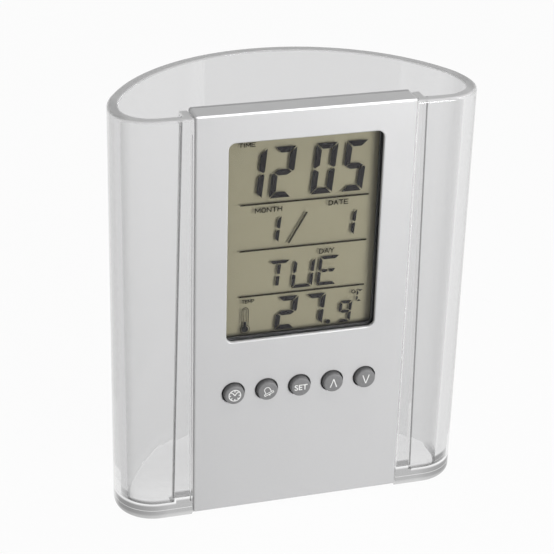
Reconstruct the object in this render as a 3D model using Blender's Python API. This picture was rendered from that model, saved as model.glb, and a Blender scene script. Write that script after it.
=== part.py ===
# A desk pen holder with a digital clock in its front, at its real size, in metres, +Z up.
# A clear D-shaped cup holds the pens. Its front is open between two thick rails, and the clock
# slides down between them: a silver shell with a display and five keys, closed by a rear cover
# that holds the button cells. Each piece is one object.
# Pieces are modelled from the front face backwards: local y is the depth behind that face.

import math

import bmesh
import bpy
from mathutils import Vector

# Driving sizes of the cup
CUP_DEPTH = 0.0457
CUP_SIDE_BAY = 0.01815
CUP_SIDE_RADIUS = 0.0200
CUP_CORNER_START = 0.00095
CUP_RIM_DROP = 0.0005
CUP_RIM_WALL = 0.0028
CUP_FOOT_WALL = 0.0034
CUP_FLOOR = 0.0030
CUP_FLOOR_FILLET = 0.0020
CUP_FOOT_EDGE = 0.0015
CUP_RIM_EDGE = 0.0009
RAIL_DEPTH = 0.0066
RAIL_RIM_WIDTH = 0.0028
RAIL_FOOT_WIDTH = 0.0050
TONGUE_REACH = 0.0009
TONGUE_THICK = 0.0014
TONGUE_TOP_MARGIN = 0.0045

# Driving sizes of the clock's shell
MODULE_WIDTH = 0.0550
MODULE_HEIGHT = 0.1100
FACE_PLATE = 0.0014
FACE_EDGE = 0.00055
FACE_CORNER_SHARE = 1.125
SIDE_WALL = 0.0024
END_WALL = 0.0015
APRON_THICK = 0.0016
APRON_LIFT = 0.0010
REAR_PLATE = 0.0013
REAR_EDGE = 0.0005

# Driving sizes of the display
WINDOW_SIDE_MARGIN = 0.0082
WINDOW_TOP_MARGIN = 0.0075
WINDOW_CORNER = 0.0017
WINDOW_EDGE = 0.0004
LENS_THICK = 0.0007
LENS_LAP = 0.0009
LENS_REBATE = 0.0006
HOLDER_LIP = 0.0005
HOLDER_SHOW = 0.0005
HOLDER_WALL = 0.0011
HOLDER_TAIL = 0.0012
GLASS_THICK = 0.0007
GLASS_LAP = 0.0010
GLASS_LEDGE = 0.0024
REFLECTOR_THICK = 0.0002
ZEBRA_HEIGHT = 0.0018
ZEBRA_END_GAP = 0.0006

# Driving sizes of the keys
KEY_COUNT_EACH_SIDE = 2
KEY_PITCH_SHARE = 0.1575
KEY_RISE = 0.0109
KEY_DROP = 0.0144
KEY_RADIUS = 0.0026
KEY_HOLE_CLEARANCE = 0.00025
KEY_HOLE_EDGE = 0.0002
KEY_PROUD = 0.0015
KEY_EDGE = 0.0005
KEY_CROWN = 0.00012
KEY_TRAVEL = 0.0007
KEY_FLANGE_LAP = 0.0007
KEY_FLANGE_THICK = 0.0006
KEY_SKIRT_WALL = 0.0006
KEY_ROOF_SINK = 0.0004
DOME_ROOT_RADIUS = 0.0015
DOME_TIP_RADIUS = 0.0012
DOME_PLAY = 0.0002
PAD_THICK = 0.00055
PAD_MARGIN = 0.0012
PAD_END_SHARE = 0.284

# Driving sizes of the board and what is soldered to it
BOARD_THICK = 0.0008
BOARD_SIDE_GAP = 0.0005
BOARD_TOP_GAP = 0.0008
BOARD_FOOT_GAP = 0.0011
BOARD_REAR_GAP = 0.0003
CHIP_ROOM_SHARE = 0.41
CHIP_HEIGHT = 0.0013
CHIP_EDGE_HEIGHT = 0.0003
CRYSTAL_RADIUS = 0.0010
CRYSTAL_LENGTH = 0.0060
CRYSTAL_EDGE = 0.0003
SENSOR_RADIUS = 0.0009
SENSOR_LENGTH = 0.0026
CHIPCAP_LENGTH = 0.0020
CHIPCAP_WIDTH = 0.0012
CHIPCAP_HEIGHT = 0.0008
CHIPCAP_EDGE = 0.0001
CHIP_SIDE_GAP = 0.0038
PART_GAP = 0.0017

# Driving sizes of the cells, their tray and its door
CELL_RADIUS = 0.0058
CELL_THICK = 0.00305
CELL_EDGE = 0.0004
CELL_CAN_GAP = 0.0006
CELL_STEP = 0.0003
CELL_SPACING = 0.0006
CELL_CLEARANCE = 0.0003
POCKET_END_FLAT = 0.00012
TRAY_WALL = 0.0010
TRAY_FLOOR = 0.0006
TRAY_SIDE_GAP = 0.0010
TRAY_FOOT_GAP = 0.0003
CONTACT_THICK = 0.0002
CONTACT_WIDTH = 0.0040
CONTACT_LAP = 0.0024
DOOR_THICK = 0.00075
DOOR_LAP = 0.0012
DOOR_CORNER = 0.0016
DOOR_CLEARANCE = 0.0003
DOOR_GRIPS_EACH_SIDE = 1
DOOR_GRIP_WIDTH = 0.0006
DOOR_GRIP_PITCH = 0.0014
DOOR_GRIP_SINK = 0.0003
BRIDGE_THICK = 0.00015
BRIDGE_WIDTH = 0.0050
BRIDGE_LENGTH_SHARE = 0.62

# Driving sizes of the buzzer
BUZZER_PLATE = 0.0003
BUZZER_CERAMIC = 0.0002
BUZZER_CERAMIC_SHARE = 0.69
BUZZER_RING_WALL = 0.0008
BUZZER_RING_HEIGHT = 0.0012
BUZZER_ROOM_SHARE = 0.38
SOUND_HOLES_EACH_SIDE = 1
SOUND_HOLE_RADIUS = 0.0006
SOUND_HOLE_PITCH_SHARE = 0.4
WIRE_RADIUS = 0.0003
WIRE_SPACING_SHARE = 0.4
WIRE_LAP = 0.0014
WIRE_BEND_SHARE = 1.5

# Driving sizes of the screws
SCREW_SHANK_RADIUS = 0.0006
SCREW_HEAD_RADIUS = 0.0013
SCREW_HEAD_THICK = 0.0006
SCREW_CROWN = 0.00015
SCREW_BITE = 0.0024
BOARD_PILOT_FLOOR = 0.0009
SCREW_SLOT_WIDTH = 0.0003
SCREW_SLOT_SINK = 0.0003
SCREW_SLOT_SHARE = 0.7
BOSS_RADIUS = 0.0017
BOSS_SINK = 0.0004
RESET_HOLE_RADIUS = 0.0006

# Clearances: between seated pieces, in the display's stack, and past a wall that is cut through
SEAT = 0.00025
STACK = 0.00015
OVERRUN = 0.0010
# How far a boss or a ring is sunk into the wall that it grows from
ROOT = 0.0005
# Points of a turned shape that are nearer than this are one
WELD = 0.000001

# How finely curves are divided
CORNER_STEPS = 10
CUP_CORNER_STEPS = 9
CUP_SIDE_STEPS = 4
BACK_STEPS = 34
EDGE_STEPS = 4
KEY_EDGE_STEPS = 3
ROUND_STEPS = 26
SMALL_ROUND_STEPS = 16
PLATE_CORNER_STEPS = 5

# Places behind the front face, from the front back
LENS_LAND = FACE_PLATE - LENS_REBATE
LENS_FRONT = LENS_LAND + STACK
HOLDER_FRONT = LENS_FRONT + LENS_THICK + STACK
FRONT_GLASS_FRONT = HOLDER_FRONT + HOLDER_LIP + STACK
REAR_GLASS_FRONT = FRONT_GLASS_FRONT + GLASS_THICK + STACK
REFLECTOR_FRONT = REAR_GLASS_FRONT + GLASS_THICK + STACK
BOARD_FRONT = REFLECTOR_FRONT + REFLECTOR_THICK + SEAT
HOLDER_REAR = BOARD_FRONT - SEAT
BOARD_REAR = BOARD_FRONT + BOARD_THICK

# The module is as thick as the larger of its two stacks: the display's, and the cells' in their tray
DISPLAY_STACK = BOARD_REAR + BOARD_REAR_GAP + REAR_PLATE
CELL_STACK = (
    FACE_PLATE + SEAT + TRAY_FLOOR + CONTACT_THICK + CELL_THICK + BRIDGE_THICK + DOOR_THICK + 4 * STACK
)
MODULE_THICK = max(DISPLAY_STACK, CELL_STACK)
REAR_PLATE_FRONT = MODULE_THICK - REAR_PLATE
SHELL_REAR = REAR_PLATE_FRONT - SEAT
DOOR_FRONT = MODULE_THICK - DOOR_THICK
DOOR_SEAT = DOOR_FRONT - SEAT
BRIDGE_FRONT = DOOR_FRONT - STACK - BRIDGE_THICK
CELL_REAR = BRIDGE_FRONT - STACK
CELL_FRONT = CELL_REAR - CELL_THICK
CONTACT_FRONT = CELL_FRONT - STACK - CONTACT_THICK
POCKET_FRONT = CONTACT_FRONT - STACK
TRAY_FRONT = POCKET_FRONT - TRAY_FLOOR
BUZZER_REAR = REAR_PLATE_FRONT - STACK
BUZZER_FRONT = BUZZER_REAR - BUZZER_PLATE - BUZZER_CERAMIC

# The tongues lie in the middle of the shell's side walls
TONGUE_DEPTH = (FACE_PLATE + SHELL_REAR - TONGUE_THICK) / 2
TONGUE_REAR = TONGUE_DEPTH + TONGUE_THICK
TONGUE_SLOPE = TONGUE_REACH / 3

# The keys, from their flanges to the mat
KEY_HOLE_RADIUS = KEY_RADIUS + KEY_HOLE_CLEARANCE
KEY_FLANGE_RADIUS = KEY_HOLE_RADIUS + KEY_FLANGE_LAP
KEY_FLANGE_FRONT = FACE_PLATE + SEAT
KEY_FLANGE_REAR = KEY_FLANGE_FRONT + KEY_FLANGE_THICK
KEY_SKIRT_INNER = DOME_ROOT_RADIUS + SEAT
KEY_SKIRT_OUTER = KEY_SKIRT_INNER + KEY_SKIRT_WALL
KEY_ROOF = KEY_FLANGE_REAR - KEY_ROOF_SINK
DOME_TIP = KEY_ROOF + KEY_TRAVEL + DOME_PLAY
PAD_REAR = BOARD_FRONT - SEAT
PAD_FRONT = PAD_REAR - PAD_THICK
KEY_SKIRT_REAR = PAD_FRONT - KEY_TRAVEL - STACK

# The shell's inside and its bosses
CHANNEL_HALF = MODULE_WIDTH / 2 + SEAT
INNER_HALF = MODULE_WIDTH / 2 - SIDE_WALL
SHELL_FOOT = CUP_FLOOR + SEAT
INNER_FOOT = SHELL_FOOT + END_WALL
INNER_TOP = MODULE_HEIGHT - END_WALL
FACE_CORNER = FACE_EDGE * FACE_CORNER_SHARE
BOSS_SIDE = INNER_HALF - BOSS_RADIUS + BOSS_SINK
BOARD_BOSS_SIDE = INNER_HALF - SCREW_HEAD_RADIUS - SEAT
FOOT_BOSS_Z = INNER_FOOT + BOSS_RADIUS - BOSS_SINK
TOP_BOSS_Z = INNER_TOP - BOSS_RADIUS + BOSS_SINK

# The cell tray fills the shell's foot from the right, and the buzzer's ring stands in the room left of it
CELL_PITCH = 2 * CELL_RADIUS + CELL_SPACING
POCKET_HALF_LENGTH = CELL_PITCH / 2 + CELL_RADIUS + CELL_CLEARANCE
POCKET_HALF_HEIGHT = CELL_RADIUS + CELL_CLEARANCE
TRAY_HALF_LENGTH = POCKET_HALF_LENGTH + TRAY_WALL
TRAY_HALF_HEIGHT = POCKET_HALF_HEIGHT + TRAY_WALL
TRAY_X = INNER_HALF - TRAY_SIDE_GAP - TRAY_HALF_LENGTH
CELL_PLACES = {"cell_left": TRAY_X - CELL_PITCH / 2, "cell_right": TRAY_X + CELL_PITCH / 2}
DOOR_SCREW_X = TRAY_X - TRAY_HALF_LENGTH - BOSS_RADIUS + TRAY_WALL / 2
DOOR_LEFT = DOOR_SCREW_X - SCREW_HEAD_RADIUS - DOOR_LAP
DOOR_RIGHT = TRAY_X + POCKET_HALF_LENGTH + TRAY_WALL / 2
DOOR_HALF_HEIGHT = POCKET_HALF_HEIGHT + DOOR_LAP
BUZZER_ROOM = INNER_HALF + DOOR_SCREW_X - BOSS_RADIUS
BUZZER_RING_OUTER = BUZZER_ROOM * BUZZER_ROOM_SHARE
BUZZER_RING_INNER = BUZZER_RING_OUTER - BUZZER_RING_WALL
BUZZER_RADIUS = BUZZER_RING_INNER - SEAT
BUZZER_X = BUZZER_ROOM / 2 - INNER_HALF
FOOT_ROW_HALF = max(DOOR_HALF_HEIGHT + DOOR_CLEARANCE, TRAY_HALF_HEIGHT, BUZZER_RING_OUTER)
TRAY_Z = FOOT_BOSS_Z + max(BOSS_RADIUS, SCREW_HEAD_RADIUS + SEAT) + TRAY_FOOT_GAP + FOOT_ROW_HALF
BUZZER_Z = TRAY_Z

# The board stands on the foot row, the keys above its foot, and the window fills the face above the keys
BOARD_HALF = INNER_HALF - BOARD_SIDE_GAP
BOARD_FOOT = TRAY_Z + max(TRAY_HALF_HEIGHT, BUZZER_RING_OUTER) + BOARD_FOOT_GAP
BOARD_TOP = TOP_BOSS_Z - BOSS_RADIUS - BOARD_TOP_GAP
KEY_PITCH = MODULE_WIDTH * KEY_PITCH_SHARE
KEY_ROW = BOARD_FOOT + KEY_RISE
PAD_HALF_HEIGHT = KEY_FLANGE_RADIUS + PAD_MARGIN / 2
WINDOW_HALF = MODULE_WIDTH / 2 - WINDOW_SIDE_MARGIN
WINDOW_TOP = MODULE_HEIGHT - WINDOW_TOP_MARGIN
WINDOW_FOOT = KEY_ROW + KEY_DROP
GLASS_HALF = WINDOW_HALF + GLASS_LAP
GLASS_TOP = WINDOW_TOP + GLASS_LAP
GLASS_FOOT = WINDOW_FOOT - GLASS_LAP
LEDGE_FOOT = GLASS_FOOT - GLASS_LEDGE
HOLDER_HALF = GLASS_HALF + STACK + HOLDER_WALL
HOLDER_TOP = GLASS_TOP + STACK + HOLDER_WALL
HOLDER_FOOT = LEDGE_FOOT - STACK - HOLDER_TAIL

# The soldered parts stand in a row between the mat and the display's holder
PART_ROOM = HOLDER_FOOT - KEY_ROW - PAD_HALF_HEIGHT
PART_ROW = HOLDER_FOOT - PART_ROOM / 2
CHIP_RADIUS = PART_ROOM * CHIP_ROOM_SHARE
CRYSTAL_X = CHIP_RADIUS + CHIP_SIDE_GAP + CRYSTAL_LENGTH / 2
CHIPCAP_X = CRYSTAL_X + (CRYSTAL_LENGTH + CHIPCAP_LENGTH) / 2 + PART_GAP

# The cup's plan: front corners that begin beside the rails' feet, wider side arcs and a back arc
CUP_HEIGHT = MODULE_HEIGHT - CUP_RIM_DROP
CUP_HALF = CHANNEL_HALF + CUP_SIDE_BAY
CUP_CORNER_RADIUS = CUP_SIDE_BAY - RAIL_FOOT_WIDTH - CUP_FLOOR_FILLET - CUP_CORNER_START
CORNER_X = CUP_HALF - CUP_CORNER_RADIUS
SIDE_X = CUP_HALF - CUP_SIDE_RADIUS
SIDE_REACH = CUP_DEPTH - CUP_CORNER_RADIUS
CUP_BACK_RADIUS = (SIDE_X**2 + SIDE_REACH**2 - CUP_SIDE_RADIUS**2) / (2 * (SIDE_REACH - CUP_SIDE_RADIUS))
BACK_CENTRE = CUP_DEPTH - CUP_BACK_RADIUS

# The object's middle in plan is the origin, and the keys are what stands furthest forward
FRONT_FACE = -(CUP_DEPTH - KEY_PROUD) / 2

# Angles
QUARTER = math.pi / 2
FULL_TURN = 2 * math.pi
SHARP_ANGLE = math.radians(32)


def clear_scene():
    """Remove every object that the file starts with."""
    for item in list(bpy.data.objects):
        bpy.data.objects.remove(item, do_unlink=True)


def material(name, colour, roughness, metallic=0.0, clear=0.0):
    """A Principled material with one plain finish."""
    made = bpy.data.materials.new(name)
    made.use_nodes = True
    shader = made.node_tree.nodes["Principled BSDF"]
    shader.inputs["Base Color"].default_value = (*colour, 1.0)
    shader.inputs["Roughness"].default_value = roughness
    shader.inputs["Metallic"].default_value = metallic
    shader.inputs["Transmission Weight"].default_value = clear
    return made


def guide(name, place, parent=None):
    """An empty that carries the pieces that move together, with its origin on their joint."""
    made = bpy.data.objects.new(name, None)
    bpy.context.collection.objects.link(made)
    made.location = place
    made.parent = parent
    return made


def solid(name, mesh_of_piece, finish, parent, place=(0, 0, 0)):
    """Turn a finished bmesh into a named object with one material, smooth on its round faces."""
    bmesh.ops.recalc_face_normals(mesh_of_piece, faces=mesh_of_piece.faces)
    mesh = bpy.data.meshes.new(name)
    mesh_of_piece.to_mesh(mesh)
    mesh_of_piece.free()
    mesh.shade_smooth()
    mesh.set_sharp_from_angle(angle=SHARP_ANGLE)
    made = bpy.data.objects.new(name, mesh)
    bpy.context.collection.objects.link(made)
    made.parent = parent
    made.location = place
    if finish:
        mesh.materials.append(finish)
    return made


def cut(target, cutters, parent, operation="DIFFERENCE"):
    """Take the cutters, which are bmeshes, off the target, or join them to it, one Boolean for each."""
    for number, cutter in enumerate(cutters):
        name = f"{target.name}_{operation.lower()}_{number}_{len(target.modifiers)}"
        tool = solid(name, cutter, None, parent)
        tool.hide_render = True
        tool.display_type = "WIRE"
        change = target.modifiers.new(name, "BOOLEAN")
        change.operation = operation
        change.solver = "EXACT"
        change.object = tool


def ring_stack(rings):
    """A closed shape through a stack of rings, each a closed list of points in the same order.

    The first ring is drawn, each next one is extruded from it, and both ends are filled.
    """
    shape = bmesh.new()
    ring = [shape.verts.new(point) for point in rings[0]]
    edges = [shape.edges.new(pair) for pair in zip(ring, ring[1:] + ring[:1])]
    first_edges = list(edges)
    for points in rings[1:]:
        made = bmesh.ops.extrude_edge_only(shape, edges=edges)["geom"]
        new_verts = {item for item in made if isinstance(item, bmesh.types.BMVert)}
        edges = [item for item in made if isinstance(item, bmesh.types.BMEdge) and set(item.verts) <= new_verts]
        after = {}
        for vert in new_verts:
            for edge in vert.link_edges:
                before = edge.other_vert(vert)
                if before not in new_verts:
                    after[before] = vert
        ring = [after[vert] for vert in ring]
        for vert, point in zip(ring, points):
            vert.co = Vector(point)
    bmesh.ops.contextual_create(shape, geom=first_edges)
    bmesh.ops.contextual_create(shape, geom=edges)
    return shape


def arc(centre, radius, start, end, steps):
    """Points of an arc in a plane, both ends included."""
    turns = [start + (end - start) * step / steps for step in range(steps + 1)]
    return [(centre[0] + radius * math.cos(turn), centre[1] + radius * math.sin(turn)) for turn in turns]


def rounded_outline(left, right, foot, top, radius, steps=PLATE_CORNER_STEPS):
    """A rectangle seen from the front with round corners, anticlockwise from the lower right."""
    corners = (
        ((right - radius, foot + radius), -QUARTER),
        ((right - radius, top - radius), 0),
        ((left + radius, top - radius), QUARTER),
        ((left + radius, foot + radius), 2 * QUARTER),
    )
    points = []
    for centre, start in corners:
        points += arc(centre, radius, start, start + QUARTER, steps)
    return points


def plain_outline(left, right, foot, top):
    """A rectangle seen from the front, anticlockwise from the lower left."""
    return [(left, foot), (right, foot), (right, top), (left, top)]


def at_depth(outline, depth):
    """Lift an outline seen from the front to a depth behind the front face."""
    return [(x, depth, z) for x, z in outline]


def plate(outline, front, rear):
    """A flat plate of one outline between two depths."""
    return ring_stack([at_depth(outline, front), at_depth(outline, rear)])


def box(left, right, front, rear, foot, top):
    """A plain block."""
    return plate(plain_outline(left, right, foot, top), front, rear)


def turned(profile, x, z, steps=ROUND_STEPS):
    """A solid turned about an axis that runs front to back through x, z.

    The profile lists (radius, depth). It starts and ends on the axis, or is closed to a loop for a ring.
    """
    shape = bmesh.new()
    points = [shape.verts.new((x + radius, depth, z)) for radius, depth in profile]
    edges = [shape.edges.new(pair) for pair in zip(points, points[1:])]
    if profile[0][0] > 0:
        edges.append(shape.edges.new((points[-1], points[0])))
    bmesh.ops.spin(
        shape, geom=points + edges, cent=(x, 0, z), axis=(0, 1, 0), dvec=(0, 0, 0),
        angle=FULL_TURN, steps=steps, use_merge=True, use_duplicate=False,
    )
    bmesh.ops.remove_doubles(shape, verts=shape.verts, dist=WELD)
    return shape


def rod(radius, x, z, front, rear, steps=SMALL_ROUND_STEPS):
    """A round bar from front to back."""
    return turned([(0, front), (radius, front), (radius, rear), (0, rear)], x, z, steps)


def stepped_hole(radius, head_radius, x, z, front, seat, rear):
    """What a screw's hole and the wider recess for its head take out, from front to back."""
    profile = [(0, front), (radius, front), (radius, seat), (head_radius, seat), (head_radius, rear), (0, rear)]
    return turned(profile, x, z, SMALL_ROUND_STEPS)


def boss(x, z, front, rear, pilot_front):
    """A screw boss with its blind pilot hole, from the wall that it grows from to its top."""
    pilot = SCREW_SHANK_RADIUS + STACK
    profile = [
        (0, front),
        (BOSS_RADIUS, front),
        (BOSS_RADIUS, rear),
        (pilot, rear),
        (pilot, pilot_front),
        (0, pilot_front),
    ]
    return turned(profile, x, z, SMALL_ROUND_STEPS)


def grown(sizes, by):
    """The sizes of a rounded rectangle that is larger all round by a margin."""
    left, right, foot, top, radius = sizes
    return (left - by, right + by, foot - by, top + by, radius + by)


# The cup


def cup_outline(inset):
    """The D-shaped plan, moved inwards: corners, sides and back are arcs about fixed centres."""
    corner = CUP_CORNER_RADIUS - inset
    side = CUP_SIDE_RADIUS - inset
    back = CUP_BACK_RADIUS - inset
    join = math.atan2(CUP_CORNER_RADIUS - BACK_CENTRE, SIDE_X)
    right_corner = arc((CORNER_X, CUP_CORNER_RADIUS), corner, -QUARTER, 0, CUP_CORNER_STEPS)
    right_side = arc((SIDE_X, CUP_CORNER_RADIUS), side, 0, join, CUP_SIDE_STEPS)
    rear = arc((0, BACK_CENTRE), back, join, 2 * QUARTER - join, BACK_STEPS)
    left_side = arc((-SIDE_X, CUP_CORNER_RADIUS), side, 2 * QUARTER - join, 2 * QUARTER, CUP_SIDE_STEPS)
    left_corner = arc((-CORNER_X, CUP_CORNER_RADIUS), corner, 2 * QUARTER, 3 * QUARTER, CUP_CORNER_STEPS)
    return right_corner[:-1] + right_side[:-1] + rear + left_side[1:] + left_corner[1:]


def cup_body():
    """The outside of the cup, with a round edge under its foot and at its rim."""
    rings = []
    for step in range(EDGE_STEPS + 1):
        turn = QUARTER * step / EDGE_STEPS
        inset = CUP_FOOT_EDGE * (1 - math.sin(turn))
        rings.append([(x, y, CUP_FOOT_EDGE * (1 - math.cos(turn))) for x, y in cup_outline(inset)])
    for step in range(EDGE_STEPS + 1):
        turn = QUARTER * step / EDGE_STEPS
        inset = CUP_RIM_EDGE * (1 - math.cos(turn))
        height = CUP_HEIGHT - CUP_RIM_EDGE * (1 - math.sin(turn))
        rings.append([(x, y, height) for x, y in cup_outline(inset)])
    return ring_stack(rings)


def channel_side(side):
    """One side of the clock's channel from the front to the rail's rear, with its tongue."""
    tongue = CHANNEL_HALF - TONGUE_REACH
    return [
        (side * CHANNEL_HALF, -OVERRUN),
        (side * CHANNEL_HALF, TONGUE_DEPTH - TONGUE_SLOPE),
        (side * tongue, TONGUE_DEPTH),
        (side * tongue, TONGUE_REAR),
        (side * CHANNEL_HALF, TONGUE_REAR + TONGUE_SLOPE),
    ]


def cavity_ring(height, shrink):
    """The pens' space and the clock's channel at one height, drawn in by a fillet."""
    rise_share = (height - CUP_FLOOR) / (CUP_HEIGHT - CUP_FLOOR)
    wall = CUP_FOOT_WALL + (CUP_RIM_WALL - CUP_FOOT_WALL) * rise_share + shrink
    width = RAIL_FOOT_WIDTH + (RAIL_RIM_WIDTH - RAIL_FOOT_WIDTH) * rise_share + shrink
    rail_side = CHANNEL_HALF + width
    rail_rear = RAIL_DEPTH + shrink
    inner = cup_outline(wall)
    front_left = channel_side(-1)
    front_right = channel_side(1)
    points = [(rail_side, rail_rear), (rail_side, wall)]
    points += inner
    points += [(-rail_side, wall), (-rail_side, rail_rear), (-CHANNEL_HALF, rail_rear)]
    points += front_left[::-1] + front_right
    points += [(CHANNEL_HALF, rail_rear)]
    return [(x, y, height) for x, y in points]


def cup_cavity():
    """What is taken out of the cup: the pens' space with its floor fillet and eased rim, and the channel."""
    rings = []
    for step in range(EDGE_STEPS + 1):
        turn = QUARTER * step / EDGE_STEPS
        height = CUP_FLOOR + CUP_FLOOR_FILLET * (1 - math.cos(turn))
        rings.append(cavity_ring(height, CUP_FLOOR_FILLET * (1 - math.sin(turn))))
    flare = CUP_RIM_EDGE / 2
    for step in range(EDGE_STEPS + 1):
        turn = QUARTER * step / EDGE_STEPS
        height = CUP_HEIGHT - flare * (1 - math.sin(turn))
        rings.append(cavity_ring(height, -flare * (1 - math.cos(turn))))
    rings.append([(x, y, CUP_HEIGHT + OVERRUN) for x, y, _ in rings[-1]])
    return ring_stack(rings)


def make_cup(finish, parent):
    cup = solid("cup", cup_body(), finish, parent)
    tongue_top = box(
        -CHANNEL_HALF, CHANNEL_HALF, TONGUE_DEPTH - TONGUE_REACH, TONGUE_REAR + TONGUE_REACH,
        CUP_HEIGHT - TONGUE_TOP_MARGIN, CUP_HEIGHT + OVERRUN,
    )
    notch = box(
        -CHANNEL_HALF, CHANNEL_HALF, -OVERRUN, APRON_THICK + SEAT, -OVERRUN, CUP_FLOOR + SEAT,
    )
    cut(cup, [cup_cavity(), tongue_top, notch], parent)
    return cup


# The clock's front shell


def fillet_rings(sizes, edge, front, inwards=1):
    """Rings of a rectangle whose front edge is rounded, from the front back."""
    rings = []
    for step in range(EDGE_STEPS + 1):
        turn = QUARTER * step / EDGE_STEPS
        by = -inwards * edge * (1 - math.sin(turn))
        rings.append(at_depth(rounded_outline(*grown(sizes, by)), front + edge * (1 - math.cos(turn))))
    return rings


def shell_body():
    """The shell's outside, with a round edge about its face."""
    half = MODULE_WIDTH / 2
    sizes = (-half, half, APRON_LIFT, MODULE_HEIGHT, FACE_CORNER)
    rings = fillet_rings(sizes, FACE_EDGE, 0)
    rings.append(at_depth(rounded_outline(*sizes), SHELL_REAR))
    return ring_stack(rings)


def window_sizes(by=0):
    half = WINDOW_HALF + by
    return (-half, half, WINDOW_FOOT - by, WINDOW_TOP + by, WINDOW_CORNER + by)


def window_cutter():
    """The window, whose front edge is eased."""
    rings = [at_depth(rounded_outline(*window_sizes(WINDOW_EDGE)), -OVERRUN)]
    rings += fillet_rings(window_sizes(), WINDOW_EDGE, 0, -1)
    rings.append(at_depth(rounded_outline(*window_sizes()), FACE_PLATE + OVERRUN))
    return ring_stack(rings)


def key_places():
    """Where the keys stand across the face."""
    numbers = range(-KEY_COUNT_EACH_SIDE, KEY_COUNT_EACH_SIDE + 1)
    return [number * KEY_PITCH for number in numbers]


def key_hole(x):
    """A key's hole, eased at its front edge."""
    profile = [
        (0, -OVERRUN),
        (KEY_HOLE_RADIUS + KEY_HOLE_EDGE, -OVERRUN),
        (KEY_HOLE_RADIUS + KEY_HOLE_EDGE, 0),
        (KEY_HOLE_RADIUS, KEY_HOLE_EDGE),
        (KEY_HOLE_RADIUS, FACE_PLATE + OVERRUN),
        (0, FACE_PLATE + OVERRUN),
    ]
    return turned(profile, x, KEY_ROW)


def cover_screw_places():
    return [
        ("cover_screw_top_left", -BOSS_SIDE, TOP_BOSS_Z),
        ("cover_screw_top_right", BOSS_SIDE, TOP_BOSS_Z),
        ("cover_screw_foot_left", -BOSS_SIDE, FOOT_BOSS_Z),
        ("cover_screw_foot_right", BOSS_SIDE, FOOT_BOSS_Z),
    ]


def board_screw_places():
    return [
        ("board_screw_left", -BOARD_BOSS_SIDE, PART_ROW),
        ("board_screw_right", BOARD_BOSS_SIDE, PART_ROW),
    ]


def make_front_cover(finish, parent):
    cover = solid("front_cover", shell_body(), finish, parent)
    reach = MODULE_WIDTH
    inside = box(-INNER_HALF, INNER_HALF, FACE_PLATE, SHELL_REAR + OVERRUN, INNER_FOOT, INNER_TOP)
    behind_apron = box(-reach, reach, APRON_THICK, SHELL_REAR + OVERRUN, -OVERRUN, SHELL_FOOT)
    groove_half = CHANNEL_HALF - TONGUE_REACH - SEAT
    groove_front = TONGUE_DEPTH - TONGUE_SLOPE - SEAT
    groove_rear = TONGUE_REAR + TONGUE_SLOPE + SEAT
    groove_top = CUP_HEIGHT - TONGUE_TOP_MARGIN + SEAT
    right_groove = box(groove_half, reach, groove_front, groove_rear, 0, groove_top)
    left_groove = box(-reach, -groove_half, groove_front, groove_rear, 0, groove_top)
    cut(cover, [inside, behind_apron, right_groove, left_groove], parent)
    root = FACE_PLATE - ROOT
    bosses = [
        boss(x, z, root, SHELL_REAR - SEAT, cover_screw_tip() - SEAT) for _, x, z in cover_screw_places()
    ]
    bosses += [
        boss(x, z, root, BOARD_FRONT - STACK, board_screw_tip() - SEAT) for _, x, z in board_screw_places()
    ]
    cut(cover, bosses, parent, "UNION")
    rebate = plate(rounded_outline(*window_sizes(LENS_LAP + STACK)), LENS_LAND, FACE_PLATE + OVERRUN / 2)
    holes = [window_cutter(), rebate]
    holes += [key_hole(x) for x in key_places()]
    cut(cover, holes, parent)
    return cover


# The display, from the front back


def make_display(finishes, parent):
    lens = rounded_outline(*window_sizes(LENS_LAP))
    solid("window_lens", plate(lens, LENS_FRONT, LENS_FRONT + LENS_THICK), finishes["lens"], parent)

    holder_outline = rounded_outline(-HOLDER_HALF, HOLDER_HALF, HOLDER_FOOT, HOLDER_TOP, HOLDER_WALL)
    holder = solid("lcd_holder", plate(holder_outline, HOLDER_FRONT, HOLDER_REAR), finishes["black"], parent)
    seen = rounded_outline(*window_sizes(-HOLDER_SHOW))
    opening = plate(seen, HOLDER_FRONT - OVERRUN, HOLDER_FRONT + HOLDER_LIP + OVERRUN)
    room = GLASS_HALF + STACK
    nest = box(-room, room, HOLDER_FRONT + HOLDER_LIP, HOLDER_REAR + OVERRUN, LEDGE_FOOT - STACK, GLASS_TOP + STACK)
    cut(holder, [opening, nest], parent)

    front_pane = box(
        -GLASS_HALF, GLASS_HALF, FRONT_GLASS_FRONT, FRONT_GLASS_FRONT + GLASS_THICK, LEDGE_FOOT, GLASS_TOP,
    )
    rear_pane = box(
        -GLASS_HALF, GLASS_HALF, REAR_GLASS_FRONT, REAR_GLASS_FRONT + GLASS_THICK, GLASS_FOOT, GLASS_TOP,
    )
    sheet = box(
        -GLASS_HALF, GLASS_HALF, REFLECTOR_FRONT, REFLECTOR_FRONT + REFLECTOR_THICK, GLASS_FOOT, GLASS_TOP,
    )
    solid("lcd_front_glass", front_pane, finishes["glass"], parent)
    solid("lcd_rear_glass", rear_pane, finishes["glass"], parent)
    solid("lcd_reflector", sheet, finishes["reflector"], parent)

    zebra_top = GLASS_FOOT - STACK
    zebra_half = GLASS_HALF - ZEBRA_END_GAP
    strip = box(
        -zebra_half, zebra_half, FRONT_GLASS_FRONT + GLASS_THICK + STACK, BOARD_FRONT - STACK,
        zebra_top - ZEBRA_HEIGHT, zebra_top,
    )
    solid("zebra_strip", strip, finishes["rubber"], parent)


# The keys and the mat behind them

KEY_NAMES = ("mode_key", "alarm_key", "set_key", "up_key", "down_key")


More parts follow.
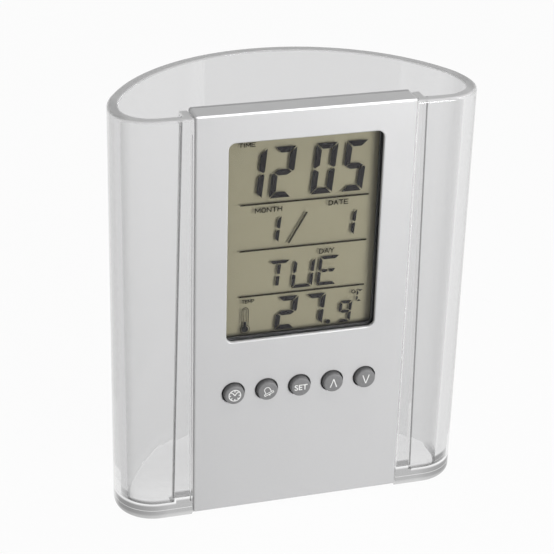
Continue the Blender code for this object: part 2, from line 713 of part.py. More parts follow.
def key_cap():
    """A cap with a crowned face, a flange that stops behind the shell, and a skirt round the mat's dome."""
    profile = [(0, -KEY_PROUD)]
    for step in range(KEY_EDGE_STEPS + 1):
        turn = QUARTER * step / KEY_EDGE_STEPS
        radius = KEY_RADIUS - KEY_EDGE * (1 - math.sin(turn))
        depth = -KEY_PROUD + KEY_CROWN + KEY_EDGE * (1 - math.cos(turn))
        profile.append((radius, depth))
    profile += [
        (KEY_RADIUS, KEY_FLANGE_FRONT),
        (KEY_FLANGE_RADIUS, KEY_FLANGE_FRONT),
        (KEY_FLANGE_RADIUS, KEY_FLANGE_REAR),
        (KEY_SKIRT_OUTER, KEY_FLANGE_REAR),
        (KEY_SKIRT_OUTER, KEY_SKIRT_REAR),
        (KEY_SKIRT_INNER, KEY_SKIRT_REAR),
        (KEY_SKIRT_INNER, KEY_ROOF),
        (0, KEY_ROOF),
    ]
    return turned(profile, 0, 0)


def make_keys(finishes, parent):
    for name, x in zip(KEY_NAMES, key_places()):
        slide = guide(f"{name}_slide", (x, 0, KEY_ROW), parent)
        solid(name, key_cap(), finishes["key"], slide)

    last_flange = KEY_COUNT_EACH_SIDE * KEY_PITCH + KEY_FLANGE_RADIUS
    half = last_flange + (INNER_HALF - last_flange) * PAD_END_SHARE
    mat = plate(
        rounded_outline(-half, half, KEY_ROW - PAD_HALF_HEIGHT, KEY_ROW + PAD_HALF_HEIGHT, PAD_MARGIN), PAD_FRONT, PAD_REAR,
    )
    keypad = solid("rubber_keypad", mat, finishes["rubber"], parent)
    domes = []
    for x in key_places():
        dome = [
            (0, DOME_TIP),
            (DOME_TIP_RADIUS, DOME_TIP),
            (DOME_ROOT_RADIUS, PAD_FRONT),
            (DOME_ROOT_RADIUS, PAD_FRONT + PAD_THICK / 2),
            (0, PAD_FRONT + PAD_THICK / 2),
        ]
        domes.append(turned(dome, x, KEY_ROW, SMALL_ROUND_STEPS))
    cut(keypad, domes, parent, "UNION")


# The circuit board and what is soldered to it


def make_board(finishes, parent):
    board = solid(
        "circuit_board", box(-BOARD_HALF, BOARD_HALF, BOARD_FRONT, BOARD_REAR, BOARD_FOOT, BOARD_TOP),
        finishes["board"], parent,
    )
    holes = [
        rod(SCREW_SHANK_RADIUS + SEAT, x, z, BOARD_FRONT - OVERRUN, BOARD_REAR + OVERRUN)
        for _, x, z in board_screw_places()
    ]
    cut(board, holes, parent)

    seat = BOARD_FRONT - STACK
    blob = [
        (0, seat),
        (CHIP_RADIUS, seat),
        (CHIP_RADIUS, seat - CHIP_EDGE_HEIGHT),
    ]
    for step in range(1, EDGE_STEPS + 1):
        turn = QUARTER * step / EDGE_STEPS
        height = CHIP_EDGE_HEIGHT + (CHIP_HEIGHT - CHIP_EDGE_HEIGHT) * math.sin(turn)
        blob.append((CHIP_RADIUS * math.cos(turn) if step < EDGE_STEPS else 0, seat - height))
    solid("chip_cover", turned(blob, 0, PART_ROW, SMALL_ROUND_STEPS), finishes["black"], parent)

    lying = solid("quartz_crystal", can(CRYSTAL_RADIUS, CRYSTAL_LENGTH, CRYSTAL_EDGE), finishes["metal"], parent)
    lying.location = (CRYSTAL_X, seat - CRYSTAL_RADIUS, PART_ROW)
    lying.rotation_euler = (0, QUARTER, 0)
    bead = solid("temperature_sensor", can(SENSOR_RADIUS, SENSOR_LENGTH, SENSOR_RADIUS / 2), finishes["sensor"], parent)
    bead.location = (-CRYSTAL_X, seat - SENSOR_RADIUS, PART_ROW)
    for name, side in (("chip_capacitor_left", -1), ("chip_capacitor_right", 1)):
        x = side * CHIPCAP_X
        block = box(
            x - CHIPCAP_LENGTH / 2, x + CHIPCAP_LENGTH / 2, seat - CHIPCAP_HEIGHT, seat,
            PART_ROW - CHIPCAP_WIDTH / 2, PART_ROW + CHIPCAP_WIDTH / 2,
        )
        bmesh.ops.bevel(
            block, geom=block.edges[:], offset=CHIPCAP_EDGE, segments=1, profile=0.5, affect="EDGES",
        )
        solid(name, block, finishes["chipcap"], parent)


def can(radius, length, edge):
    """A small round can that lies up and down, with eased ends, about its own middle."""
    shape = bmesh.new()
    half = length / 2
    profile = [(0, -half), (radius - edge, -half), (radius, -half + edge)]
    profile += [(radius, half - edge), (radius - edge, half), (0, half)]
    points = [shape.verts.new((across, 0, along)) for across, along in profile]
    edges = [shape.edges.new(pair) for pair in zip(points, points[1:])]
    bmesh.ops.spin(
        shape, geom=points + edges, cent=(0, 0, 0), axis=(0, 0, 1), dvec=(0, 0, 0),
        angle=FULL_TURN, steps=SMALL_ROUND_STEPS, use_merge=True, use_duplicate=False,
    )
    bmesh.ops.remove_doubles(shape, verts=shape.verts, dist=WELD)
    return shape


# The cells, their contacts and the door over them


def cell(x):
    """A button cell: the can, and the smaller negative cap that faces the front."""
    cap = CELL_RADIUS - CELL_CAN_GAP
    profile = [
        (0, CELL_FRONT),
        (cap - CELL_STEP, CELL_FRONT),
        (cap, CELL_FRONT + CELL_STEP),
        (CELL_RADIUS - CELL_EDGE / 2, CELL_FRONT + CELL_STEP),
        (CELL_RADIUS, CELL_FRONT + CELL_STEP + CELL_EDGE / 2),
        (CELL_RADIUS, CELL_REAR - CELL_EDGE),
        (CELL_RADIUS - CELL_EDGE, CELL_REAR),
        (0, CELL_REAR),
    ]
    return turned(profile, x, TRAY_Z)


def contact(x):
    """A strip under a cell that runs up through the tray's wall and bends back to the board."""
    left = x - CONTACT_WIDTH / 2
    right = x + CONTACT_WIDTH / 2
    front = CONTACT_FRONT
    rear = CONTACT_FRONT + CONTACT_THICK
    foot = TRAY_Z - CONTACT_WIDTH / 2
    bend = TRAY_Z + TRAY_HALF_HEIGHT + STACK
    tip_rear = BOARD_FRONT - STACK
    tip_front = tip_rear - CONTACT_THICK
    land = BOARD_FOOT + SEAT
    side_view = [
        (rear, foot),
        (rear, bend),
        (tip_rear, land),
        (tip_rear, BOARD_FOOT + CONTACT_LAP),
        (tip_front, BOARD_FOOT + CONTACT_LAP),
        (tip_front, land),
        (front, bend),
        (front, foot),
    ]
    return ring_stack([[(left, y, z) for y, z in side_view], [(right, y, z) for y, z in side_view]])


def make_cells(finishes, parent):
    for name, x in CELL_PLACES.items():
        solid(name, cell(x), finishes["cell"], parent)
    solid("contact_left", contact(CELL_PLACES["cell_left"]), finishes["metal"], parent)
    solid("contact_right", contact(CELL_PLACES["cell_right"]), finishes["metal"], parent)

    half = POCKET_HALF_LENGTH * BRIDGE_LENGTH_SHARE
    strip = rounded_outline(
        TRAY_X - half, TRAY_X + half, TRAY_Z - BRIDGE_WIDTH / 2, TRAY_Z + BRIDGE_WIDTH / 2, BRIDGE_WIDTH / 5,
    )
    solid("bridge_strip", plate(strip, BRIDGE_FRONT, BRIDGE_FRONT + BRIDGE_THICK), finishes["metal"], parent)

    outline = rounded_outline(
        DOOR_LEFT, DOOR_RIGHT, TRAY_Z - DOOR_HALF_HEIGHT, TRAY_Z + DOOR_HALF_HEIGHT, DOOR_CORNER,
    )
    door = solid("battery_door", plate(outline, DOOR_FRONT, DOOR_FRONT + DOOR_THICK), finishes["silver"], parent)
    door_rear = DOOR_FRONT + DOOR_THICK
    cuts = [
        stepped_hole(
            SCREW_SHANK_RADIUS + SEAT, SCREW_HEAD_RADIUS + SEAT, DOOR_SCREW_X, TRAY_Z,
            DOOR_FRONT - OVERRUN, door_rear - DOOR_THICK / 2, door_rear + OVERRUN,
        )
    ]
    for number in range(-DOOR_GRIPS_EACH_SIDE, DOOR_GRIPS_EACH_SIDE + 1):
        x = DOOR_RIGHT - POCKET_HALF_LENGTH / 3 + number * DOOR_GRIP_PITCH
        half_height = POCKET_HALF_HEIGHT / 2
        cuts.append(
            box(
                x - DOOR_GRIP_WIDTH / 2, x + DOOR_GRIP_WIDTH / 2, door_rear - DOOR_GRIP_SINK, door_rear + OVERRUN,
                TRAY_Z - half_height, TRAY_Z + half_height,
            )
        )
    cut(door, cuts, parent)


# The rear cover with the cell tray, the door's recess and the buzzer's ring


def make_rear_cover(finish, parent):
    half = MODULE_WIDTH / 2
    sizes = (-half, half, SHELL_FOOT, MODULE_HEIGHT, FACE_CORNER)
    rings = [at_depth(rounded_outline(*sizes), REAR_PLATE_FRONT)]
    for step in range(EDGE_STEPS + 1):
        turn = QUARTER * step / EDGE_STEPS
        by = -REAR_EDGE * (1 - math.cos(turn))
        depth = MODULE_THICK - REAR_EDGE * (1 - math.sin(turn))
        rings.append(at_depth(rounded_outline(*grown(sizes, by)), depth))
    cover = solid("rear_cover", ring_stack(rings), finish, parent)

    tray = plate(
        rounded_outline(
            TRAY_X - TRAY_HALF_LENGTH, TRAY_X + TRAY_HALF_LENGTH,
            TRAY_Z - TRAY_HALF_HEIGHT, TRAY_Z + TRAY_HALF_HEIGHT, TRAY_HALF_HEIGHT - TRAY_WALL,
        ),
        TRAY_FRONT, REAR_PLATE_FRONT + ROOT,
    )
    door_boss = rod(
        BOSS_RADIUS, DOOR_SCREW_X, TRAY_Z, DOOR_SEAT - SCREW_BITE - ROOT, REAR_PLATE_FRONT + ROOT,
    )
    ring_front = REAR_PLATE_FRONT - BUZZER_RING_HEIGHT
    ring_rear = REAR_PLATE_FRONT + ROOT
    ring_profile = [
        (BUZZER_RING_INNER, ring_front),
        (BUZZER_RING_OUTER, ring_front),
        (BUZZER_RING_OUTER, ring_rear),
        (BUZZER_RING_INNER, ring_rear),
    ]
    ring = turned(ring_profile, BUZZER_X, BUZZER_Z)
    cut(cover, [tray, door_boss, ring], parent, "UNION")

    pocket = plate(
        rounded_outline(
            TRAY_X - POCKET_HALF_LENGTH, TRAY_X + POCKET_HALF_LENGTH,
            TRAY_Z - POCKET_HALF_HEIGHT, TRAY_Z + POCKET_HALF_HEIGHT, POCKET_HALF_HEIGHT - POCKET_END_FLAT,
            CORNER_STEPS,
        ),
        POCKET_FRONT, MODULE_THICK + OVERRUN,
    )
    gap = DOOR_CLEARANCE
    recess = plate(
        rounded_outline(
            DOOR_LEFT - gap, DOOR_RIGHT + gap, TRAY_Z - DOOR_HALF_HEIGHT - gap, TRAY_Z + DOOR_HALF_HEIGHT + gap,
            DOOR_CORNER + gap,
        ),
        DOOR_SEAT, MODULE_THICK + OVERRUN,
    )
    cuts = [pocket, recess]
    slot_half = CONTACT_WIDTH / 2 + STACK
    for x in CELL_PLACES.values():
        cuts.append(
            box(
                x - slot_half, x + slot_half, CONTACT_FRONT - STACK / 2, CONTACT_FRONT + CONTACT_THICK + STACK / 2,
                TRAY_Z, TRAY_Z + TRAY_HALF_HEIGHT + OVERRUN,
            )
        )
    pilot = SCREW_SHANK_RADIUS + STACK
    cuts.append(rod(pilot, DOOR_SCREW_X, TRAY_Z, DOOR_SEAT - SCREW_BITE, MODULE_THICK + OVERRUN))
    for _, x, z in cover_screw_places():
        cuts.append(
            stepped_hole(
                SCREW_SHANK_RADIUS + SEAT, SCREW_HEAD_RADIUS + SEAT, x, z,
                REAR_PLATE_FRONT - OVERRUN, cover_screw_seat() - STACK, MODULE_THICK + OVERRUN,
            )
        )
    for _, x, z in board_screw_places():
        head_end = BOARD_REAR + STACK + SCREW_HEAD_THICK + SCREW_CROWN
        cuts.append(rod(SCREW_HEAD_RADIUS + SEAT, x, z, REAR_PLATE_FRONT - OVERRUN, head_end + STACK))
    numbers = range(-SOUND_HOLES_EACH_SIDE, SOUND_HOLES_EACH_SIDE + 1)
    pitch = BUZZER_RADIUS * SOUND_HOLE_PITCH_SHARE
    for column in numbers:
        for row in numbers:
            x = BUZZER_X + column * pitch
            z = BUZZER_Z + row * pitch
            cuts.append(
                rod(SOUND_HOLE_RADIUS, x, z, REAR_PLATE_FRONT - OVERRUN / 2, MODULE_THICK + OVERRUN, CORNER_STEPS)
            )
    cuts.append(
        rod(
            RESET_HOLE_RADIUS, BUZZER_X, PART_ROW, REAR_PLATE_FRONT - OVERRUN, MODULE_THICK + OVERRUN,
            CORNER_STEPS,
        )
    )
    cut(cover, cuts, parent)
    return cover


# The buzzer and its wires


def make_buzzer(finishes, parent):
    ceramic = BUZZER_RADIUS * BUZZER_CERAMIC_SHARE
    profile = [
        (0, BUZZER_FRONT),
        (ceramic, BUZZER_FRONT),
        (ceramic, BUZZER_FRONT + BUZZER_CERAMIC),
        (BUZZER_RADIUS, BUZZER_FRONT + BUZZER_CERAMIC),
        (BUZZER_RADIUS, BUZZER_REAR),
        (0, BUZZER_REAR),
    ]
    solid("piezo_buzzer", turned(profile, BUZZER_X, BUZZER_Z), finishes["brass"], parent)
    for name, side in (("buzzer_wire_left", -1), ("buzzer_wire_right", 1)):
        x = BUZZER_X + side * BUZZER_RADIUS * WIRE_SPACING_SHARE / 2
        solid(name, wire(x), finishes[name], parent)


def wire(x):
    """A wire that leaves the buzzer's face, climbs over its ring and lands on the board's face."""
    start = BUZZER_FRONT - STACK
    land = BOARD_FRONT - STACK
    bend = WIRE_RADIUS * WIRE_BEND_SHARE
    crest = min(REAR_PLATE_FRONT - BUZZER_RING_HEIGHT - SEAT - WIRE_RADIUS, land - bend - STACK)
    top = BOARD_FOOT + WIRE_LAP
    path = [(start, BUZZER_Z)]
    path += arc((crest + bend, BUZZER_Z + bend), bend, 3 * QUARTER, 2 * QUARTER, EDGE_STEPS)
    path += arc((crest + bend, top - bend), bend, 2 * QUARTER, QUARTER, EDGE_STEPS)
    path.append((land, top))
    return tube([Vector((x, y, z)) for y, z in path], WIRE_RADIUS)


def tube(path, radius):
    """A round bar along a path in one upright plane, with flat ends square to the path."""
    rings = []
    for number, point in enumerate(path):
        ahead = path[min(number + 1, len(path) - 1)]
        behind = path[max(number - 1, 0)]
        along = (ahead - behind).normalized()
        across = Vector((1, 0, 0))
        up = along.cross(across)
        turns = [FULL_TURN * step / CORNER_STEPS for step in range(CORNER_STEPS)]
        rings.append([point + radius * (math.cos(turn) * across + math.sin(turn) * up) for turn in turns])
    return ring_stack(rings)


# The screws


def cover_screw_seat():
    """Depth of the face under a cover screw's head."""
    return MODULE_THICK - SCREW_HEAD_THICK - SCREW_CROWN


def cover_screw_tip():
    return cover_screw_seat() - REAR_PLATE - SCREW_BITE / 2


def board_screw_tip():
    """The screw ends as far behind the face plate as its pilot hole allows."""
    return FACE_PLATE + BOARD_PILOT_FLOOR


def screw(seat, tip):
    """A pan-head screw whose head faces the rear, about its own axis."""
    head = seat + SCREW_HEAD_THICK
    profile = [
        (0, tip),
        (SCREW_SHANK_RADIUS / 2, tip),
        (SCREW_SHANK_RADIUS, tip + SCREW_SHANK_RADIUS),
        (SCREW_SHANK_RADIUS, seat),
        (SCREW_HEAD_RADIUS, seat),
        (SCREW_HEAD_RADIUS, head - SCREW_CROWN),
        (SCREW_HEAD_RADIUS - SCREW_CROWN, head),
        (0, head + SCREW_CROWN),
    ]
    return profile


def make_screw(name, x, z, seat, tip, finish, parent):
    made = solid(name, turned(screw(seat, tip), x, z, SMALL_ROUND_STEPS), finish, parent)
    head = seat + SCREW_HEAD_THICK
    reach = SCREW_HEAD_RADIUS * SCREW_SLOT_SHARE
    half = SCREW_SLOT_WIDTH / 2
    sink = head - SCREW_SLOT_SINK
    level = box(x - reach, x + reach, sink, head + OVERRUN, z - half, z + half)
    upright = box(x - half, x + half, sink, head + OVERRUN, z - reach, z + reach)
    cut(made, [level, upright], parent)


def make_screws(finishes, parent):
    for name, x, z in cover_screw_places():
        make_screw(name, x, z, cover_screw_seat(), cover_screw_tip(), finishes["metal"], parent)
    for name, x, z in board_screw_places():
        make_screw(name, x, z, BOARD_REAR + STACK, board_screw_tip(), finishes["metal"], parent)
    door_seat = DOOR_FRONT + DOOR_THICK / 2 + STACK
    make_screw(
        "door_screw", DOOR_SCREW_X, TRAY_Z, door_seat, DOOR_SEAT - SCREW_BITE + SEAT, finishes["metal"], parent,
    )


def main():
    clear_scene()
    finishes = {
        "clear": material("clear plastic", (0.86, 0.87, 0.87), 0.05, clear=1.0),
        "silver": material("satin silver paint", (0.66, 0.66, 0.67), 0.38, 0.4),
        "lens": material("clear window", (0.95, 0.95, 0.95), 0.03, clear=1.0),
        "glass": material("display glass", (0.93, 0.95, 0.92), 0.02, clear=1.0),
        "reflector": material("display reflector", (0.30, 0.29, 0.20), 0.6),
        "black": material("black plastic", (0.02, 0.02, 0.02), 0.5),
        "key": material("grey key plastic", (0.24, 0.24, 0.25), 0.45),
        "rubber": material("grey rubber", (0.20, 0.20, 0.21), 0.8),
        "board": material("green board", (0.03, 0.18, 0.08), 0.5),
        "metal": material("bright steel", (0.62, 0.62, 0.62), 0.3, 1.0),
        "brass": material("brass", (0.70, 0.52, 0.24), 0.35, 1.0),
        "cell": material("cell steel", (0.66, 0.66, 0.66), 0.25, 1.0),
        "sensor": material("sensor bead", (0.05, 0.04, 0.03), 0.4),
        "chipcap": material("capacitor body", (0.42, 0.33, 0.22), 0.5),
        "buzzer_wire_left": material("red wire", (0.50, 0.03, 0.03), 0.5),
        "buzzer_wire_right": material("black wire", (0.02, 0.02, 0.02), 0.5),
    }
    holder = guide("holder", (0, FRONT_FACE, 0))
    clock = guide("clock_slide", (0, 0, 0), holder)
    make_cup(finishes["clear"], holder)
    make_front_cover(finishes["silver"], clock)
    make_display(finishes, clock)
    make_keys(finishes, clock)
    make_board(finishes, clock)
    make_cells(finishes, clock)
    make_rear_cover(finishes["silver"], clock)
    make_buzzer(finishes, clock)
    make_screws(finishes, clock)


main()
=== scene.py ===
# A desk pen holder with a digital clock in its front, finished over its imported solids, in metres, +Z up.

import math

import bmesh
import bpy
from mathutils import Matrix, Vector


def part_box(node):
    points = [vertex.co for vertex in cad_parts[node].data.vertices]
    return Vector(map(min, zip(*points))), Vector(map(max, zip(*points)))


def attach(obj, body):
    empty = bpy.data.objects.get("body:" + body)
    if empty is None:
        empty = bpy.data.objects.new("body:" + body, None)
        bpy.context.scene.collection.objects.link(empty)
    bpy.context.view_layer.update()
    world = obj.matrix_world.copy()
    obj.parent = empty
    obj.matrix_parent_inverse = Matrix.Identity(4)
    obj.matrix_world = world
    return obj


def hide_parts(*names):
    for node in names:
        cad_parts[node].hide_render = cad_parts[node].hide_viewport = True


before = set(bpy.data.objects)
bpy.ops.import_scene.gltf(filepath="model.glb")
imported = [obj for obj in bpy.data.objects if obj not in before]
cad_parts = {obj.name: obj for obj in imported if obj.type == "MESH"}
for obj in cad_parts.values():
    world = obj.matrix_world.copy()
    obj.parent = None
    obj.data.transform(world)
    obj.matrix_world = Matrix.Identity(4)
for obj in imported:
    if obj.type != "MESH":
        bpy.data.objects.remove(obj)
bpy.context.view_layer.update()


# The camera stands to the left of the object's front and above it, as the photograph's did, and its
# frame is square. The place that it looks at lies on the clock's face.

PHOTO_PIXELS = 554
FOCAL_PIXELS = 1780
SENSOR_WIDTH = 36
CAMERA_DISTANCE = 0.4353
CAMERA_AZIMUTH = math.radians(-17.22)
CAMERA_ELEVATION = math.radians(26.41)
CAMERA_ROLL = math.radians(1.61)
AIM_LEFT_OF_MIDDLE = 0.00673
AIM_HEIGHT = 0.06644

shell_low, shell_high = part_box("front_cover")
FACE = shell_low.y

camera_data = bpy.data.cameras.new("camera")
camera_data.sensor_width = SENSOR_WIDTH
camera_data.lens = FOCAL_PIXELS / PHOTO_PIXELS * SENSOR_WIDTH
camera = bpy.data.objects.new("camera", camera_data)
bpy.context.scene.collection.objects.link(camera)
towards_camera = Vector((
    math.sin(CAMERA_AZIMUTH) * math.cos(CAMERA_ELEVATION),
    -math.cos(CAMERA_AZIMUTH) * math.cos(CAMERA_ELEVATION),
    math.sin(CAMERA_ELEVATION),
))
aim = Vector((-AIM_LEFT_OF_MIDDLE, FACE, AIM_HEIGHT))
upright = towards_camera.to_track_quat("Z", "Y").to_matrix()
camera.matrix_world = (
    Matrix.Translation(aim + CAMERA_DISTANCE * towards_camera)
    @ upright.to_4x4()
    @ Matrix.Rotation(CAMERA_ROLL, 4, "Z")
)
bpy.context.scene.camera = camera
bpy.context.scene.view_settings.view_transform = "Standard"


# The studio is an even white surround and a plain pale floor, which takes the object's soft shadow.
# A lamp stands close in front of the object on its right, and a weaker one hangs over the front of it.

SURROUND_LEVEL = 0.22
WHITE = (1.0, 1.0, 1.0, 1.0)
FLOOR_WIDTH = 6.0
FLOOR_COLOUR = (0.86, 0.86, 0.86, 1.0)
FLOOR_GLOW_SHARE = 0.96
FLOOR_MOTTLE = 0.12
LAMPS = {
    "front_lamp": {"place": (0.22, -0.45, 0.12), "size": 0.20, "watts": 1.65},
    "top_lamp": {"place": (0.16, -0.25, 0.60), "size": 0.12, "watts": 0.35},
}
LAMP_AIM = Vector((0, 0, AIM_HEIGHT))


def add(tree, kind, inputs=None, **settings):
    """Add a node with its settings; its inputs are values, or other nodes' outputs to link."""
    made = tree.nodes.new(kind)
    for name, value in settings.items():
        setattr(made, name, value)
    for name, value in (inputs or {}).items():
        if isinstance(value, bpy.types.NodeSocket):
            tree.links.new(value, made.inputs[name])
        else:
            made.inputs[name].default_value = value
    return made


def reckon(tree, operation, *sources):
    """One step of arithmetic on values."""
    return add(tree, "ShaderNodeMath", dict(enumerate(sources)), operation=operation).outputs[0]


def mix_surfaces(tree, share, first, second):
    """Make a material's surface of two shaders."""
    both = add(tree, "ShaderNodeMixShader", {0: share, 1: first.outputs[0], 2: second.outputs[0]})
    tree.links.new(both.outputs[0], tree.nodes["Material Output"].inputs["Surface"])


def seen_directly(tree):
    """1 for what the camera sees, directly or in and through the object, and 0 for what lights it."""
    rays = add(tree, "ShaderNodeLightPath").outputs
    either = reckon(tree, "MAXIMUM", rays["Is Camera Ray"], rays["Is Glossy Ray"])
    return reckon(tree, "MAXIMUM", either, rays["Is Transmission Ray"])


surround = bpy.data.worlds.new("surround")
bpy.context.scene.world = surround
surround.use_nodes = True
tree = surround.node_tree
tree.nodes.clear()
lighting = add(tree, "ShaderNodeBackground", {"Color": WHITE, "Strength": SURROUND_LEVEL})
backdrop = add(tree, "ShaderNodeBackground", {"Color": WHITE, "Strength": 1.0})
either_white = add(
    tree, "ShaderNodeMixShader", {0: seen_directly(tree), 1: lighting.outputs[0], 2: backdrop.outputs[0]},
)
add(tree, "ShaderNodeOutputWorld", {"Surface": either_white.outputs[0]})

for name, lamp in LAMPS.items():
    data = bpy.data.lights.new(name, "AREA")
    data.shape = "DISK"
    data.size = lamp["size"]
    data.energy = lamp["watts"]
    made = bpy.data.objects.new(name, data)
    bpy.context.scene.collection.objects.link(made)
    made.location = lamp["place"]
    made.rotation_euler = (made.location - LAMP_AIM).to_track_quat("Z", "Y").to_euler()

floor_mesh = bpy.data.meshes.new("floor")
floor_shape = bmesh.new()
bmesh.ops.create_grid(floor_shape, x_segments=1, y_segments=1, size=FLOOR_WIDTH / 2)
floor_shape.to_mesh(floor_mesh)
floor_shape.free()
floor = bpy.data.objects.new("floor", floor_mesh)
bpy.context.scene.collection.objects.link(floor)
pale_floor = bpy.data.materials.new("pale floor")
pale_floor.use_nodes = True
tree = pale_floor.node_tree
mottle = add(tree, "ShaderNodeTexNoise", {"Scale": 1 / FLOOR_MOTTLE})
paint = tree.nodes["Principled BSDF"]
paint.inputs["Base Color"].default_value = FLOOR_COLOUR
tree.links.new(mottle.outputs["Fac"], paint.inputs["Roughness"])
paint.inputs["Specular IOR Level"].default_value = 0
glow = add(tree, "ShaderNodeEmission", {"Color": WHITE, "Strength": 1.0})
mix_surfaces(tree, reckon(tree, "MULTIPLY", seen_directly(tree), FLOOR_GLOW_SHARE), paint, glow)
floor_mesh.materials.append(pale_floor)


# The cup is one clear moulding. A D-shaped wall stands on a thick floor, the front is open between two
# deep rails, and the wall and the rails thin towards the rim, because the mould draws upwards. A tongue
# runs down each rail, and the clock's grooves slide over it.

CUP_CORNER_RADIUS = 0.0102
CUP_SIDE_RADIUS = 0.0200
CUP_FOOT_WALL = 0.0034
CUP_RIM_WALL = 0.0028
CUP_FLOOR = 0.0030
CUP_FLOOR_FILLET = 0.0010
CUP_FOOT_EDGE = 0.0015
CUP_RIM_EDGE = 0.0009
CUP_INNER_EDGE = 0.00045
RAIL_DEPTH = 0.0063
RAIL_FOOT_WIDTH = 0.0043
RAIL_RIM_WIDTH = 0.0023
TONGUE_REACH = 0.0009
TONGUE_THICK = 0.0014
TONGUE_SLOPE = 0.0003
TONGUE_TOP_MARGIN = 0.0045
SLIDING_GAP = 0.00025
APRON_THICK = 0.0016
OVERRUN = 0.0010
TOUCH = 0.000001
CORNER_STEPS = 20
SIDE_STEPS = 10
BACK_STEPS = 72
FOOT_STEPS = 9
RIM_STEPS = 5
INNER_STEPS = 3
QUARTER = math.pi / 2
SHARP_ANGLE = math.radians(32)
ROUND_PROFILE = 0.5
Y_AXIS = 1
Z_AXIS = 2

CLEAR_COLOUR = (1.0, 1.0, 1.0, 1.0)
CLEAR_SHADE = (0.90, 0.90, 0.90, 1.0)
CLEAR_IOR = 1.49
CLEAR_GLOSS = 1.0
TRAPPED_TURNS = 4.5
GRAIN_DETAIL = 2.0
NOISE_ENDS = (0.3, 0.7)
SCUFF_SIZE = 0.011
SCUFF_ROUGHNESS = (0.0, 0.035)
WAVE_SIZE = 0.022
WAVE_DEPTH = 0.00001
MATT_RIM_DEPTH = 0.0006
MATT_RIM_CLEAR_SHARE = 0.15
RIM_PAINTED_SHADE_SHARE = 0.87
CLEAR_FRONT = (0.965, 0.965, 0.967, 1.0)
CLEAR_BACK = (0.757, 0.757, 0.760, 1.0)
CLEAR_BACK_SHARE = 0.45
CLEAR_LOW_SHARE = 0.905
FOOT_SHARE = 0.42
FOOT_BAND_SHARE = 0.25
FOOT_BAND_FROM = (0.0014, 0.0020)
FOOT_BAND_TO = (0.0043, 0.0049)
FOOT_BAND_RISE = 0.0010
FOOT_BAND_DEPTHS = (0.007, 0.015)
FOOT_CORNERS = (0.034, 0.042)
FOOT_CORNER_POWER = 1.7
FLAT_MARGIN = 0.00005
CLEAR_SIDES = (0.0422, 0.0438)
CLEAR_SIDE_DEPTHS = (0.014, 0.024)
CLEAR_SIDE_SHARE = 0.73
RAIL_LINE_WIDTH = 0.0006
RAIL_LINE_SOFT = 0.00015
RAIL_LINE_SHARE = 0.14
RAIL_LINE_DEPTHS = (0.0020, 0.0042)


def arc(shape, start, centre, turn, steps):
    """Carry a point round an upright axis through a centre, which draws an arc, and return its end."""
    made = bmesh.ops.spin(
        shape, geom=[start], cent=centre, axis=(0, 0, 1), dvec=(0, 0, 0), angle=turn, steps=steps,
        use_merge=False, use_duplicate=False,
    )
    return next(item for item in made["geom_last"] if isinstance(item, bmesh.types.BMVert))


def flat_edges(shape, axis, place, kept=lambda middle: True):
    """The edges that lie in one flat plane across an axis, and whose middles are kept."""
    found = []
    for edge in shape.edges:
        middle = (edge.verts[0].co + edge.verts[1].co) / 2
        if all(abs(vert.co[axis] - place) < TOUCH for vert in edge.verts) and kept(middle):
            found.append(edge)
    return found


def ease(shape, edges, radius, steps):
    """Round edges off."""
    bmesh.ops.bevel(
        shape, geom=edges, offset=radius, segments=steps, profile=ROUND_PROFILE, affect="EDGES", material=-1,
    )


def join_up(shape, points):
    """Draw straight edges from point to point."""
    for pair in zip(points, points[1:]):
        shape.edges.new(pair)


def lift(shape, faces, by, **settings):
    """Extrude faces, and move their new ends by a vector."""
    raised = bmesh.ops.extrude_face_region(shape, geom=faces, **settings)["geom"]
    points = [item for item in raised if isinstance(item, bmesh.types.BMVert)]
    bmesh.ops.translate(shape, vec=by, verts=points)


def prism(points, low, high):
    """A block of one plan, given by its points, between two heights."""
    shape = bmesh.new()
    corners = [shape.verts.new((x, y, low)) for x, y in points]
    lift(shape, [shape.faces.new(corners)], (0, 0, high - low))
    bmesh.ops.recalc_face_normals(shape, faces=shape.faces)
    return shape


def block(low, high):
    """A plain block between two corners."""
    low = Vector(low)
    high = Vector(high)
    shape = bmesh.new()
    bmesh.ops.create_cube(shape, size=1)
    bmesh.ops.scale(shape, vec=high - low, verts=shape.verts)
    bmesh.ops.translate(shape, vec=(low + high) / 2, verts=shape.verts)
    return shape


def as_object(name, shape):
    """A bmesh as an object at the origin, with its faces pointing outwards."""
    bmesh.ops.recalc_face_normals(shape, faces=shape.faces)
    mesh = bpy.data.meshes.new(name)
    shape.to_mesh(mesh)
    shape.free()
    made = bpy.data.objects.new(name, mesh)
    bpy.context.scene.collection.objects.link(made)
    return made


def carve(piece, tools, operation="DIFFERENCE"):
    """Take shapes off a piece, or join them to it, one after another, and keep the result as its mesh."""
    for tool in tools:
        cutter = as_object("cutter", tool)
        change = piece.modifiers.new("carve", "BOOLEAN")
        change.operation = operation
        change.object = cutter
        graph = bpy.context.evaluated_depsgraph_get()
        carved = bpy.data.meshes.new_from_object(piece.evaluated_get(graph))
        piece.modifiers.clear()
        piece.data = carved
        bpy.data.objects.remove(cutter)


def ease_piece(piece, axis, place, radius, steps, kept=lambda middle: True):
    """Round off the edges of a carved piece that lie in one flat plane."""
    shape = bmesh.new()
    shape.from_mesh(piece.data)
    ease(shape, flat_edges(shape, axis, place, kept), radius, steps)
    shape.to_mesh(piece.data)
    shape.free()


def complete(piece, finish, body, slot, *nodes):
    """Give a piece its finish and its shading, and let it ride on a body in the place of the solids."""
    piece.data.materials.clear()
    piece.data.materials.append(finish)
    piece.data.shade_smooth()
    piece.data.set_sharp_from_angle(angle=SHARP_ANGLE)
    even = piece.modifiers.new("even shading", "WEIGHTED_NORMAL")
    even.keep_sharp = True
    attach(piece, body)
    if nodes:
        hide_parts(*nodes)


